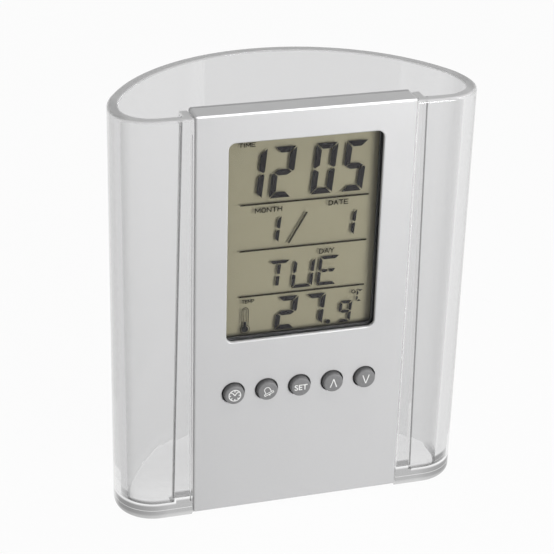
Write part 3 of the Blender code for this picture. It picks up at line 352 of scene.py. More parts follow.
def principled(name, colour, roughness, metallic=0.0):
    """A material with one shader, and its node tree, which the sections add their detail to."""
    made = bpy.data.materials.new(name)
    made.use_nodes = True
    shader = made.node_tree.nodes["Principled BSDF"]
    shader.inputs["Base Color"].default_value = colour
    shader.inputs["Roughness"].default_value = roughness
    shader.inputs["Metallic"].default_value = metallic
    return made, made.node_tree, shader


def own_place(tree):
    """The place on the object itself."""
    return add(tree, "ShaderNodeTexCoord").outputs["Object"]


def grain(tree, size, detail=GRAIN_DETAIL):
    """Noise in the object's own place, whose spots are about one size across."""
    inputs = {"Vector": own_place(tree), "Scale": 1 / size, "Detail": detail}
    return add(tree, "ShaderNodeTexNoise", inputs).outputs["Fac"]


def spread(tree, source, start, end, ends):
    """Spread a stretch of a value over a range of values."""
    inputs = {"Value": source, "From Min": start, "From Max": end, "To Min": ends[0], "To Max": ends[1]}
    return add(tree, "ShaderNodeMapRange", inputs).outputs["Result"]


def along(tree, axis, start, end, ends):
    """Spread a stretch of the object's own place along an axis over a range of values."""
    parts = add(tree, "ShaderNodeSeparateXYZ", {"Vector": own_place(tree)})
    return spread(tree, parts.outputs[axis], start, end, ends)


def between(tree, source, ends):
    """Spread a noise over a range of values."""
    return spread(tree, source, *NOISE_ENDS, ends)


def roughen(tree, shader, size, ends):
    """Let a finish be duller in some spots than in others."""
    tree.links.new(between(tree, grain(tree, size), ends), shader.inputs["Roughness"])


def raise_grain(tree, shader, source, depth):
    """Let a noise stand up from the surface by a depth."""
    bump = add(tree, "ShaderNodeBump", {"Height": source, "Distance": depth})
    tree.links.new(bump.outputs["Normal"], shader.inputs["Normal"])


def mix_colours(tree, share, first, second):
    """The first of two colours where a share is 0, and the second where it is 1."""
    inputs = {"Factor": share, "A": first, "B": second}
    return add(tree, "ShaderNodeMix", inputs, data_type="RGBA").outputs["Result"]


def scale_colour(tree, colour, level):
    """A colour times a value."""
    return add(tree, "ShaderNodeVectorMath", {0: colour, "Scale": level}, operation="SCALE").outputs["Vector"]


def darken(tree, amount, share):
    """A level of 1 where an amount is 0, which falls to a share where the amount is 1."""
    lost = reckon(tree, "MULTIPLY", amount, reckon(tree, "SUBTRACT", 1.0, share))
    return reckon(tree, "SUBTRACT", 1.0, lost)


def see_through(name, colour, shade, ior, gloss):
    """Clear material that bends the view, while lamps' light and long trapped light pass straight on."""
    made, tree, shader = principled(name, colour, 0.0)
    shader.inputs["Transmission Weight"].default_value = 1.0
    shader.inputs["IOR"].default_value = ior
    shader.inputs["Specular Tint"].default_value = (gloss, gloss, gloss, 1.0)
    rays = add(tree, "ShaderNodeLightPath").outputs
    trapped = reckon(tree, "GREATER_THAN", rays["Ray Depth"], TRAPPED_TURNS)
    passing = add(tree, "ShaderNodeBsdfTransparent", {"Color": shade})
    mix_surfaces(tree, reckon(tree, "MAXIMUM", rays["Is Shadow Ray"], trapped), shader, passing)
    return made, tree, shader


cup_low, cup_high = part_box("cup")
CUP_DEPTH = cup_high.y - cup_low.y
CHANNEL_HALF = shell_high.x + SLIDING_GAP
clear_plastic, tree, shader = see_through("clear plastic", CLEAR_COLOUR, CLEAR_SHADE, CLEAR_IOR, CLEAR_GLOSS)
roughen(tree, shader, SCUFF_SIZE, SCUFF_ROUGHNESS)
raise_grain(tree, shader, grain(tree, WAVE_SIZE, 0.0), WAVE_DEPTH)
matt_from = cup_high.z - MATT_RIM_DEPTH
clearness = along(tree, "Z", matt_from, cup_high.z, (1.0, MATT_RIM_CLEAR_SHARE))
tree.links.new(clearness, shader.inputs["Transmission Weight"])

# The plastic's tint is painted shade. It stands in for the dark things of a room, which the plastic bends
# into view and a white studio lacks. It is deeper at the back, down the sides, in a band round the foot and
# in a line beside each rail, and a little deeper towards the foot.
parts = add(tree, "ShaderNodeSeparateXYZ", {"Vector": own_place(tree)}).outputs
aside = reckon(tree, "ABSOLUTE", parts["X"])
deep = reckon(tree, "SUBTRACT", parts["Y"], cup_low.y)
high = reckon(tree, "SUBTRACT", parts["Z"], cup_low.z)

on_rail = reckon(tree, "LESS_THAN", aside, CHANNEL_HALF + RAIL_FOOT_WIDTH)
lowered = reckon(tree, "SUBTRACT", high, reckon(tree, "MULTIPLY", on_rail, FOOT_BAND_RISE))
band = reckon(
    tree, "MAXIMUM",
    spread(tree, high, *FOOT_BAND_FROM, (FOOT_SHARE, FOOT_BAND_SHARE)),
    spread(tree, lowered, *FOOT_BAND_TO, (FOOT_BAND_SHARE, 1.0)),
)
foot_share = reckon(tree, "POWER", band, spread(tree, aside, *FOOT_CORNERS, (1.0, FOOT_CORNER_POWER)))
flat = reckon(
    tree, "MAXIMUM",
    reckon(tree, "COMPARE", high, 0.0, FLAT_MARGIN),
    reckon(tree, "COMPARE", high, CUP_FLOOR, FLAT_MARGIN),
)
at_foot = reckon(
    tree, "MULTIPLY",
    spread(tree, deep, *FOOT_BAND_DEPTHS, (1.0, 0.0)),
    reckon(tree, "SUBTRACT", 1.0, flat),
)
at_side = reckon(
    tree, "MULTIPLY",
    spread(tree, aside, *CLEAR_SIDES, (0.0, 1.0)),
    spread(tree, deep, *CLEAR_SIDE_DEPTHS, (1.0, 0.0)),
)
rail_side = spread(
    tree, high, CUP_FLOOR, cup_high.z - cup_low.z,
    (CHANNEL_HALF + RAIL_FOOT_WIDTH, CHANNEL_HALF + RAIL_RIM_WIDTH),
)
line_half = RAIL_LINE_WIDTH / 2
from_line = reckon(tree, "SUBTRACT", aside, reckon(tree, "ADD", rail_side, line_half))
from_line = reckon(tree, "ABSOLUTE", from_line)
on_line = spread(tree, from_line, line_half - RAIL_LINE_SOFT, line_half, (1.0, 0.0))
for limit in (
    reckon(tree, "GREATER_THAN", deep, RAIL_LINE_DEPTHS[0]),
    reckon(tree, "LESS_THAN", deep, RAIL_LINE_DEPTHS[1]),
    reckon(tree, "GREATER_THAN", high, FOOT_BAND_TO[1]),
):
    on_line = reckon(tree, "MULTIPLY", on_line, limit)
# The level below is painted shade, and it darkens the plastic's colour towards the foot, in the foot band,
# down the sides and beside each rail.
level = spread(tree, high, 0.0, cup_high.z - cup_low.z, (CLEAR_LOW_SHARE, 1.0))
for part in (
    darken(tree, at_foot, foot_share),
    darken(tree, at_side, CLEAR_SIDE_SHARE),
    darken(tree, on_line, RAIL_LINE_SHARE),
    # Painted shade darkens the plastic's colour along the rim.
    along(tree, "Z", matt_from, cup_high.z, (1.0, RIM_PAINTED_SHADE_SHARE)),
):
    level = reckon(tree, "MULTIPLY", level, part)
backwards = spread(tree, deep, 0.0, CLEAR_BACK_SHARE * CUP_DEPTH, (0.0, 1.0))
tint = scale_colour(tree, mix_colours(tree, backwards, CLEAR_FRONT, CLEAR_BACK), level)
tree.links.new(tint, shader.inputs["Base Color"])

CORNER_X = cup_high.x - CUP_CORNER_RADIUS
CORNER_Y = cup_low.y + CUP_CORNER_RADIUS
SIDE_X = cup_high.x - CUP_SIDE_RADIUS
SIDE_REACH = CUP_DEPTH - CUP_CORNER_RADIUS
CUP_BACK_RADIUS = (SIDE_X**2 + SIDE_REACH**2 - CUP_SIDE_RADIUS**2) / (2 * (SIDE_REACH - CUP_SIDE_RADIUS))
BACK_CENTRE = cup_high.y - CUP_BACK_RADIUS
JOIN_TURN = math.atan2(CORNER_Y - BACK_CENTRE, SIDE_X)
TONGUE_FRONT = FACE + (shell_high.y - FACE + APRON_THICK - SLIDING_GAP - TONGUE_THICK) / 2
TONGUE_REAR = TONGUE_FRONT + TONGUE_THICK


def draw_wall(shape, wall, height):
    """Draw the D-shaped plan, moved inwards by a wall, from its right front corner to its left one."""
    start = shape.verts.new((CORNER_X, cup_low.y + wall, height))
    end = arc(shape, start, (CORNER_X, CORNER_Y, height), QUARTER, CORNER_STEPS)
    end = arc(shape, end, (SIDE_X, CORNER_Y, height), JOIN_TURN, SIDE_STEPS)
    end = arc(shape, end, (0, BACK_CENTRE, height), 2 * QUARTER - 2 * JOIN_TURN, BACK_STEPS)
    end = arc(shape, end, (-SIDE_X, CORNER_Y, height), JOIN_TURN, SIDE_STEPS)
    end = arc(shape, end, (-CORNER_X, CORNER_Y, height), QUARTER, CORNER_STEPS)
    return start, end


def draw_bay(shape, wall, rail_width, height):
    """Draw the plan of the pens' space, which runs forward beside each rail."""
    start, end = draw_wall(shape, wall, height)
    side = CHANNEL_HALF + rail_width
    rest = [(-side, cup_low.y + wall), (-side, cup_low.y + RAIL_DEPTH)]
    rest += [(side, cup_low.y + RAIL_DEPTH), (side, cup_low.y + wall)]
    join_up(shape, [end] + [shape.verts.new((x, y, height)) for x, y in rest] + [start])


body = bmesh.new()
body.edges.new(draw_wall(body, 0, cup_low.z)[::-1])
bmesh.ops.contextual_create(body, geom=body.edges[:])
lift(body, body.faces[:], (0, 0, cup_high.z - cup_low.z))
bmesh.ops.recalc_face_normals(body, faces=body.faces)
ease(body, flat_edges(body, Z_AXIS, cup_low.z), CUP_FOOT_EDGE, FOOT_STEPS)
ease(body, flat_edges(body, Z_AXIS, cup_high.z), CUP_RIM_EDGE, RIM_STEPS)

floor_height = cup_low.z + CUP_FLOOR
above_rim = cup_high.z + OVERRUN
bay = bmesh.new()
draw_bay(bay, CUP_FOOT_WALL, RAIL_FOOT_WIDTH, floor_height)
draw_bay(bay, CUP_RIM_WALL, RAIL_RIM_WIDTH, above_rim)
bmesh.ops.bridge_loops(bay, edges=bay.edges[:])
bmesh.ops.contextual_create(bay, geom=flat_edges(bay, Z_AXIS, floor_height))
bmesh.ops.contextual_create(bay, geom=flat_edges(bay, Z_AXIS, above_rim))
bmesh.ops.recalc_face_normals(bay, faces=bay.faces)
ease(bay, flat_edges(bay, Z_AXIS, floor_height), CUP_FLOOR_FILLET, FOOT_STEPS)

right_side = [
    (CHANNEL_HALF, FACE - OVERRUN),
    (CHANNEL_HALF, TONGUE_FRONT - TONGUE_SLOPE),
    (CHANNEL_HALF - TONGUE_REACH, TONGUE_FRONT),
    (CHANNEL_HALF - TONGUE_REACH, TONGUE_REAR),
    (CHANNEL_HALF, TONGUE_REAR + TONGUE_SLOPE),
    (CHANNEL_HALF, FACE + RAIL_DEPTH + CUP_FLOOR_FILLET + OVERRUN),
]
channel = prism(right_side + [(-x, y) for x, y in right_side[::-1]], floor_height, above_rim)
tongue_ends = block(
    (-CHANNEL_HALF, TONGUE_FRONT - TONGUE_REACH, cup_high.z - TONGUE_TOP_MARGIN),
    (CHANNEL_HALF, TONGUE_REAR + TONGUE_REACH, above_rim),
)
apron_notch = block(
    (-CHANNEL_HALF, FACE - OVERRUN, cup_low.z - OVERRUN),
    (CHANNEL_HALF, FACE + APRON_THICK + SLIDING_GAP, floor_height + SLIDING_GAP),
)
cup = as_object("clear_cup", body)
carve(cup, [bay, channel, tongue_ends, apron_notch])


def inner_rim(middle):
    """True along the mouth and the channel, and false along the outer rim, which is round already."""
    half_wall = CUP_RIM_WALL / 2
    if middle.y < cup_low.y + half_wall:
        return False
    if abs(middle.x) > CORNER_X and middle.y < CORNER_Y:
        corner = Vector((abs(middle.x) - CORNER_X, middle.y - CORNER_Y))
        return corner.length < CUP_CORNER_RADIUS - half_wall
    side = Vector((abs(middle.x) - SIDE_X, middle.y - CORNER_Y))
    if side.x > 0 and math.atan2(side.y, side.x) < JOIN_TURN:
        return side.length < CUP_SIDE_RADIUS - half_wall
    return Vector((middle.x, middle.y - BACK_CENTRE)).length < CUP_BACK_RADIUS - half_wall


ease_piece(cup, Z_AXIS, cup_high.z, CUP_INNER_EDGE, INNER_STEPS, inner_rim)
complete(cup, clear_plastic, "holder", "clear_plastic", "cup")


# The clock's front shell is moulded and sprayed a satin silver, with a painted highlight along its face's top
# edge. The face holds the window and the key holes, a groove in each side wall takes the cup's tongue, and an
# apron hangs over the cup's floor. Six screw bosses stand behind the face.

FACE_PLATE = 0.0014
SIDE_WALL = 0.0024
END_WALL = 0.0015
SHELL_CORNER = 0.00062
SHELL_EDGE = 0.00055
SHELL_STEPS = 6
SHELL_REACH = 0.0002
LENS_LAP = 0.0009
LENS_REBATE = 0.0006
LENS_GAP = 0.00015
REBATE_OVERRUN = 0.0005
WINDOW_OVERRUN = 0.00025
WINDOW_CORNER = 0.0017
WINDOW_STEPS = 10
WINDOW_EDGE = 0.0004
WINDOW_EDGE_STEPS = 4
KEY_HOLE_RADIUS = 0.00295
KEY_HOLE_EDGE = 0.0002
KEY_HOLE_EDGE_STEPS = 2
BOSS_RADIUS = 0.0017
SCREW_NAMES = (
    "cover_screw_top_left", "cover_screw_top_right", "cover_screw_foot_left", "cover_screw_foot_right",
)
BOARD_SCREW_NAMES = ("board_screw_left", "board_screw_right")
KEY_NAMES = ("mode_key", "alarm_key", "set_key", "up_key", "down_key")
ROUND_STEPS = 48

SILVER_COLOURS = ((0.540, 0.540, 0.545, 1.0), (0.596, 0.596, 0.601, 1.0))
SILVER_ROUGHNESS = (0.36, 0.46)
SILVER_METALLIC = 0.17
SILVER_COAT = 0.9
SILVER_COAT_ROUGHNESS = 0.16
EDGE_HIGHLIGHT_COLOUR = (0.83, 0.83, 0.835, 1.0)
EDGE_HIGHLIGHT_HEIGHTS = (0.00045, 0.00032)
EDGE_HIGHLIGHT_DEPTHS = (0.00030, 0.00045)
FLAKE_SIZE = 0.00012
CLOUD_SIZE = 0.014
SPRAY_SIZE = 0.0004
SPRAY_DEPTH = 0.000006


def middle_of(node):
    """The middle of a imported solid's box."""
    low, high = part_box(node)
    return (low + high) / 2


def around(low, high, margin, front, rear):
    """The corners of a box that reaches past another all round by a margin, between two depths."""
    return (
        Vector((low.x - margin, front, low.z - margin)),
        Vector((high.x + margin, rear, high.z + margin)),
    )


def plate(low, high, corner, steps=SHELL_STEPS):
    """A block whose four corners are round, seen from the front."""
    shape = block(low, high)
    lengthwise = [edge for edge in shape.edges if abs(edge.verts[0].co.y - edge.verts[1].co.y) > TOUCH]
    ease(shape, lengthwise, corner, steps)
    return shape


def rod(radius, middle, front, rear, steps=ROUND_STEPS):
    """A round bar from front to back."""
    shape = bmesh.new()
    place = Matrix.Translation((middle.x, (front + rear) / 2, middle.z)) @ Matrix.Rotation(QUARTER, 4, "X")
    bmesh.ops.create_cone(
        shape, cap_ends=True, segments=steps, radius1=radius, radius2=radius, depth=rear - front,
        matrix=place,
    )
    return shape


def spots(tree, size):
    """Noise from 0 to 1, whose spots are about one size across."""
    return between(tree, grain(tree, size), (0.0, 1.0))


def coloured(tree, source, colours):
    """Let a noise run between two colours."""
    ramp = add(tree, "ShaderNodeValToRGB", {"Fac": source})
    for stop, colour in zip(ramp.color_ramp.elements, colours):
        stop.color = colour
    return ramp.outputs["Color"]


silver_paint, tree, shader = principled(
    "silver paint", SILVER_COLOURS[0], SILVER_ROUGHNESS[0], SILVER_METALLIC,
)
flakes = coloured(tree, spots(tree, FLAKE_SIZE), SILVER_COLOURS)
# A highlight is painted along the face's top edge, where the paint is also made fully metallic.
near_top = along(tree, "Z", shell_high.z - EDGE_HIGHLIGHT_HEIGHTS[0], shell_high.z - EDGE_HIGHLIGHT_HEIGHTS[1], (0.0, 1.0))
near_face = along(tree, "Y", FACE + EDGE_HIGHLIGHT_DEPTHS[0], FACE + EDGE_HIGHLIGHT_DEPTHS[1], (1.0, 0.0))
painted_highlight = reckon(tree, "MULTIPLY", near_top, near_face)
tree.links.new(mix_colours(tree, painted_highlight, flakes, EDGE_HIGHLIGHT_COLOUR), shader.inputs["Base Color"])
tree.links.new(spread(tree, painted_highlight, 0.0, 1.0, (SILVER_METALLIC, 1.0)), shader.inputs["Metallic"])
roughen(tree, shader, CLOUD_SIZE, SILVER_ROUGHNESS)
raise_grain(tree, shader, grain(tree, SPRAY_SIZE), SPRAY_DEPTH)
shader.inputs["Coat Weight"].default_value = SILVER_COAT
shader.inputs["Coat Roughness"].default_value = SILVER_COAT_ROUGHNESS

inner_face = FACE + FACE_PLATE
inside_rear = shell_high.y + OVERRUN
apron_top = floor_height + SLIDING_GAP
shell_rear = shell_high + Vector((0, SHELL_REACH, 0))
front_shell = as_object("front_shell", plate(shell_low, shell_rear, SHELL_CORNER))
ease_piece(front_shell, Y_AXIS, FACE, SHELL_EDGE, SHELL_STEPS)
inside = block(
    (shell_low.x + SIDE_WALL, inner_face, apron_top + END_WALL),
    (shell_high.x - SIDE_WALL, inside_rear, shell_high.z - END_WALL),
)
behind_apron = block(
    (shell_low.x - OVERRUN, FACE + APRON_THICK, shell_low.z - OVERRUN),
    (shell_high.x + OVERRUN, inside_rear, apron_top),
)
tools = [inside, behind_apron]
groove_half = CHANNEL_HALF - TONGUE_REACH - SLIDING_GAP
for side in (-1, 1):
    ends = sorted((side * groove_half, side * (shell_high.x + OVERRUN)))
    tools.append(block(
        (ends[0], TONGUE_FRONT - TONGUE_SLOPE - SLIDING_GAP, shell_low.z - OVERRUN),
        (ends[1], TONGUE_REAR + TONGUE_SLOPE + SLIDING_GAP, cup_high.z - TONGUE_TOP_MARGIN + SLIDING_GAP),
    ))
carve(front_shell, tools)
bosses = [
    rod(BOSS_RADIUS, middle_of(name), FACE + FACE_PLATE / 2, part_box(name)[1].y - OVERRUN)
    for name in SCREW_NAMES + BOARD_SCREW_NAMES
]
carve(front_shell, bosses, "UNION")

lens_low, lens_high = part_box("window_lens")
window_low, window_high = around(lens_low, lens_high, -LENS_LAP, FACE - OVERRUN, inner_face + WINDOW_OVERRUN)
rebate = around(lens_low, lens_high, LENS_GAP, inner_face - LENS_REBATE, inner_face + REBATE_OVERRUN)
key_middles = [middle_of(name) for name in KEY_NAMES]
tools = [
    plate(window_low, window_high, WINDOW_CORNER, WINDOW_STEPS),
    plate(*rebate, WINDOW_CORNER + LENS_LAP + LENS_GAP),
]
tools += [rod(KEY_HOLE_RADIUS, middle, FACE - OVERRUN, inner_face + OVERRUN) for middle in key_middles]
carve(front_shell, tools)


def round_window(middle):
    """True on the window's edge."""
    across = window_low.x - TOUCH < middle.x < window_high.x + TOUCH
    return across and window_low.z - TOUCH < middle.z < window_high.z + TOUCH


def round_a_key(middle):
    """True on a key hole's edge."""
    return any(
        Vector((middle.x - key.x, middle.z - key.z)).length < KEY_HOLE_RADIUS + TOUCH for key in key_middles
    )


ease_piece(front_shell, Y_AXIS, FACE, WINDOW_EDGE, WINDOW_EDGE_STEPS, round_window)
ease_piece(front_shell, Y_AXIS, FACE, KEY_HOLE_EDGE, KEY_HOLE_EDGE_STEPS, round_a_key)
complete(front_shell, silver_paint, "clock", "silver_shell", "front_cover")


# The window is a clear sheet, stamped out and dropped into the rebate behind the face plate, where a line
# of glue under its edge holds it. Its edge is slightly broken.

LENS_EDGE = 0.0001
LENS_COLOUR = (0.975, 0.98, 0.975, 1.0)
LENS_SHADE = (0.93, 0.93, 0.93, 1.0)
LENS_GLOSS = 0.15
LENS_SCUFF_SIZE = 0.004
LENS_ROUGHNESS = (0.0, 0.02)

window_plastic, tree, shader = see_through("clear window", LENS_COLOUR, LENS_SHADE, CLEAR_IOR, LENS_GLOSS)
roughen(tree, shader, LENS_SCUFF_SIZE, LENS_ROUGHNESS)
lens = as_object("window_sheet", plate(lens_low, lens_high, WINDOW_CORNER + LENS_LAP))
ease_piece(lens, Y_AXIS, lens_low.y, LENS_EDGE, 1)
ease_piece(lens, Y_AXIS, lens_high.y, LENS_EDGE, 1)
complete(lens, window_plastic, "clock", "clear_window", "window_lens")


# The display stands behind the window in a black frame with a thin lip. It is two panes of glass with the
# crystal between them, and a drab green reflector lies behind the rear pane. The front pane is longer, and
# its foot rests on a rubber strip of conducting stripes that joins it to the board.

HOLDER_WALL = 0.0011
HOLDER_LIP = 0.0005
HOLDER_SHOW = 0.0005
HOLDER_HIDE = 0.0003
HOLDER_EASE = 0.0002
HOLDER_EASE_STEPS = 2
PANE_GAP = 0.00015
PANE_EDGE = 0.00012
GLASS_COLOUR = (0.965, 0.975, 0.96, 1.0)
GLASS_SHADE = (0.92, 0.93, 0.91, 1.0)
GLASS_IOR = 1.52
GLASS_GLOSS = 0.10
GLASS_SPECK_SIZE = 0.003
GLASS_ROUGHNESS = (0.0, 0.012)
REFLECTOR_COLOURS = ((0.522, 0.443, 0.341, 1.0), (0.581, 0.496, 0.384, 1.0))
REFLECTOR_ROUGHNESS = (0.5, 0.75)
REFLECTOR_GRAIN = 0.0002
REFLECTOR_CLOUD = 0.006
FRAME_SHADE_RIGHT = 0.0003
FRAME_SHADE_FOOT = 0.0011
FRAME_SHADE_OVERRUN = 0.0001
FRAME_SHADE_SHARE = 0.10
BLACK_COLOURS = ((0.012, 0.012, 0.013, 1.0), (0.022, 0.022, 0.023, 1.0))
BLACK_ROUGHNESS = (0.42, 0.6)
BLACK_GRAIN = 0.0005
BLACK_DEPTH = 0.00001
STRIPE_WIDTH = 0.0004
STRIPE_COLOURS = ((0.012, 0.012, 0.012, 1.0), (0.30, 0.29, 0.27, 1.0))
STRIPE_ROUGHNESS = 0.7
WAVE_TEXTURE_RATE = 20
PLAIN_GLOSS = 0.5


def mottled(name, colours, roughness, size, metallic=0.0, depth=0.0, gloss=PLAIN_GLOSS):
    """A finish whose colour and dullness vary in small spots, which may stand up a little."""
    made, tree, shader = principled(name, colours[0], roughness[0], metallic)
    shader.inputs["Specular IOR Level"].default_value = gloss
    varied = spots(tree, size)
    tree.links.new(coloured(tree, varied, colours), shader.inputs["Base Color"])
    roughen(tree, shader, size, roughness)
    if depth:
        raise_grain(tree, shader, varied, depth)
    return made


def repaint(finish, *nodes):
    """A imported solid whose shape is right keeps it, and takes a finer finish."""
    for name in nodes:
        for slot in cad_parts[name].material_slots:
            slot.material = finish


black_plastic = mottled("black plastic", BLACK_COLOURS, BLACK_ROUGHNESS, BLACK_GRAIN, depth=BLACK_DEPTH)

display_glass, tree, shader = see_through("display glass", GLASS_COLOUR, GLASS_SHADE, GLASS_IOR, GLASS_GLOSS)
roughen(tree, shader, GLASS_SPECK_SIZE, GLASS_ROUGHNESS)

drab_reflector, tree, shader = principled("drab reflector", REFLECTOR_COLOURS[0], REFLECTOR_ROUGHNESS[0])
speckle = coloured(tree, spots(tree, REFLECTOR_GRAIN), REFLECTOR_COLOURS)
# The frame's shadow lies on the reflector along its right side and its foot.
shades = (1.0, FRAME_SHADE_SHARE)
right_end = window_high.x + FRAME_SHADE_OVERRUN
foot_end = window_low.z - FRAME_SHADE_OVERRUN
shade_right = along(tree, "X", window_high.x - FRAME_SHADE_RIGHT, right_end, shades)
shade_foot = along(tree, "Z", window_low.z + FRAME_SHADE_FOOT, foot_end, shades)
shadow = reckon(tree, "MULTIPLY", shade_right, shade_foot)
tree.links.new(scale_colour(tree, speckle, shadow), shader.inputs["Base Color"])
roughen(tree, shader, REFLECTOR_CLOUD, REFLECTOR_ROUGHNESS)

striped_rubber, tree, shader = principled("striped rubber", STRIPE_COLOURS[0], STRIPE_ROUGHNESS)
stripes = add(
    tree, "ShaderNodeTexWave", {"Vector": own_place(tree), "Scale": 1 / STRIPE_WIDTH / WAVE_TEXTURE_RATE},
    wave_type="BANDS", bands_direction="X",
)
tree.links.new(coloured(tree, stripes.outputs["Fac"], STRIPE_COLOURS), shader.inputs["Base Color"])

holder_low, holder_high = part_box("lcd_holder")
front_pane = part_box("lcd_front_glass")
rear_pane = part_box("lcd_rear_glass")
holder = as_object("display_frame", plate(holder_low, holder_high, HOLDER_WALL))
ease_piece(holder, Y_AXIS, holder_low.y, HOLDER_EASE, HOLDER_EASE_STEPS)
seen = plate(
    (window_low.x - HOLDER_HIDE, holder_low.y - OVERRUN, window_low.z + HOLDER_SHOW),
    (window_high.x - HOLDER_SHOW, holder_low.y + HOLDER_LIP + OVERRUN, window_high.z + HOLDER_HIDE),
    WINDOW_CORNER - HOLDER_SHOW,
)
nest = block(*around(*front_pane, PANE_GAP, holder_low.y + HOLDER_LIP, holder_high.y + OVERRUN))
carve(holder, [seen, nest])
complete(holder, black_plastic, "clock", "black_plastic", "lcd_holder")

for name, node, corners in (
    ("front_pane", "lcd_front_glass", front_pane), ("rear_pane", "lcd_rear_glass", rear_pane),
):
    pane_shape = block(*corners)
    ease(pane_shape, pane_shape.edges[:], PANE_EDGE, 1)
    complete(as_object(name, pane_shape), display_glass, "clock", "display_glass", node)
repaint(drab_reflector, "lcd_reflector")
repaint(striped_rubber, "zebra_strip")


# What the display shows lies in the crystal between the panes: figures of mitred bars that lean a little,
# thin rules, a slash, a thermometer and small fixed words. The bars are near black, and the rest is a dark
# brown. Places are given from the display's middle and the window's foot, as they look through the glass.

SEEN_LEFT = 0.000145
SEEN_UP = 0.000288
CRYSTAL_THICK = 0.00005
LEAN = 0.098
BAR_GAP = 0.00024
BAR_CUT_SHARE = 0.22
BAR_POINT_SHARE = 0.25
WORD_LINE_SHARE = 0.17
WORD_END_SHARE = 1 / 3
LETTER_GAP_SHARE = 0.38
LETTER_WIDTHS = {"I": 0.2, "M": 1.25}
LETTERS = {
    "A": (((0, 0), (0.5, 1), (1, 0)), ((0.2, 0.36), (0.8, 0.36))),
    "D": (((0, 0), (0, 1), (0.6, 1), (1, 0.7), (1, 0.3), (0.6, 0), (0, 0)),),
    "E": (((1, 0), (0, 0), (0, 1), (1, 1)), ((0, 0.5), (0.85, 0.5))),
    "H": (((0, 0), (0, 1)), ((1, 0), (1, 1)), ((0, 0.5), (1, 0.5))),
    "I": (((0.5, 0), (0.5, 1)),),
    "M": (((0, 0), (0, 1), (0.5, 0.25), (1, 1), (1, 0)),),
    "N": (((0, 0), (0, 1), (1, 0), (1, 1)),),
    "O": (((0.3, 0), (0, 0.3), (0, 0.7), (0.3, 1), (0.7, 1), (1, 0.7), (1, 0.3), (0.7, 0), (0.3, 0)),),
    "P": (((0, 0), (0, 1), (0.7, 1), (1, 0.85), (1, 0.6), (0.7, 0.45), (0, 0.45)),),
    "T": (((0, 1), (1, 1)), ((0.5, 0), (0.5, 1))),
    "Y": (((0, 1), (0.5, 0.5), (1, 1)), ((0.5, 0.5), (0.5, 0))),
}
RULE_THICK = 0.00045
RULE_HALF = 0.01628
RULE_MIDDLE = 0.00087
RULE_HEIGHTS = (0.03527, 0.02300, 0.01057)
RULE_RISE = -0.00012
SLASH = ((-0.00308, 0.02413), (0.00141, 0.03199))
SLASH_THICK = 0.00052
POINT = (0.00799, 0.00104)
POINT_RADIUS = 0.00060
# A figure has its bars, left, foot, width, height and thickness, and a word its left, foot, width and height.
FIGURES = (
    ("bc", -0.01573, 0.03658, 0.00553, 0.01317, 0.00151),
    ("abged", -0.00837, 0.03651, 0.00554, 0.01318, 0.00151),
    ("abcdef", 0.00199, 0.03652, 0.00554, 0.01318, 0.00151),
    ("afgcd", 0.00972, 0.03645, 0.00555, 0.01319, 0.00151),
    ("bc", -0.00931, 0.02447, 0.00362, 0.00731, 0.00090),
    ("bc", 0.01005, 0.02448, 0.00363, 0.00712, 0.00091),
    ("aim", -0.00858, 0.01172, 0.00542, 0.00788, 0.00084),
    ("bcdef", -0.00209, 0.01156, 0.00542, 0.00788, 0.00084),
    ("adefhj", 0.00443, 0.01149, 0.00523, 0.00798, 0.00084),
    ("abged", -0.00619, 0.00038, 0.00532, 0.00914, 0.00125),
    ("abc", 0.00134, 0.00059, 0.00502, 0.00875, 0.00125),
    ("abcdfg", 0.01042, 0.00040, 0.00332, 0.00600, 0.00078),
    ("aefd", 0.01508, 0.00590, 0.00165, 0.00325, 0.00046),
)
WORDS = (
    ("TIME", -0.01610, 0.05030, 0.00419, 0.00114),
    ("MONTH", -0.01181, 0.03288, 0.00691, 0.00138),
    ("DATE", 0.00685, 0.03311, 0.00513, 0.00136),
    ("DAY", 0.00489, 0.02027, 0.00398, 0.00140),
    ("TEMP", -0.01466, 0.00875, 0.00318, 0.00100),
)
DEGREE = (0.01437, 0.00875)
DEGREE_RADIUS = 0.00055
DEGREE_LINE = 0.00021
BULB = (-0.01374, 0.00158)
BULB_RADIUS = 0.00128
BULB_FILL_RADIUS = 0.00086
TUBE_HALF = 0.00080
TUBE_HEIGHT = 0.0060
TUBE_LINE = 0.00018
TUBE_BORE_HALF = 0.00044
TUBE_BORE_LINE = 0.00011
TUBE_FILL_HALF = 0.00036
TUBE_FILL_HEIGHT = 0.0021
INK_COLOURS = ((0.018, 0.016, 0.020, 1.0), (0.032, 0.028, 0.032, 1.0))
LABEL_COLOURS = ((0.024, 0.019, 0.012, 1.0), (0.036, 0.029, 0.019, 1.0))
INK_ROUGHNESS = (0.35, 0.5)
INK_GLOSS = 0.05
INK_GRAIN = 0.0006

ink_front = front_pane[1].y + (rear_pane[0].y - front_pane[1].y - CRYSTAL_THICK) / 2
display_foot = Vector((-SEEN_LEFT, ink_front, window_low.z + SEEN_UP))


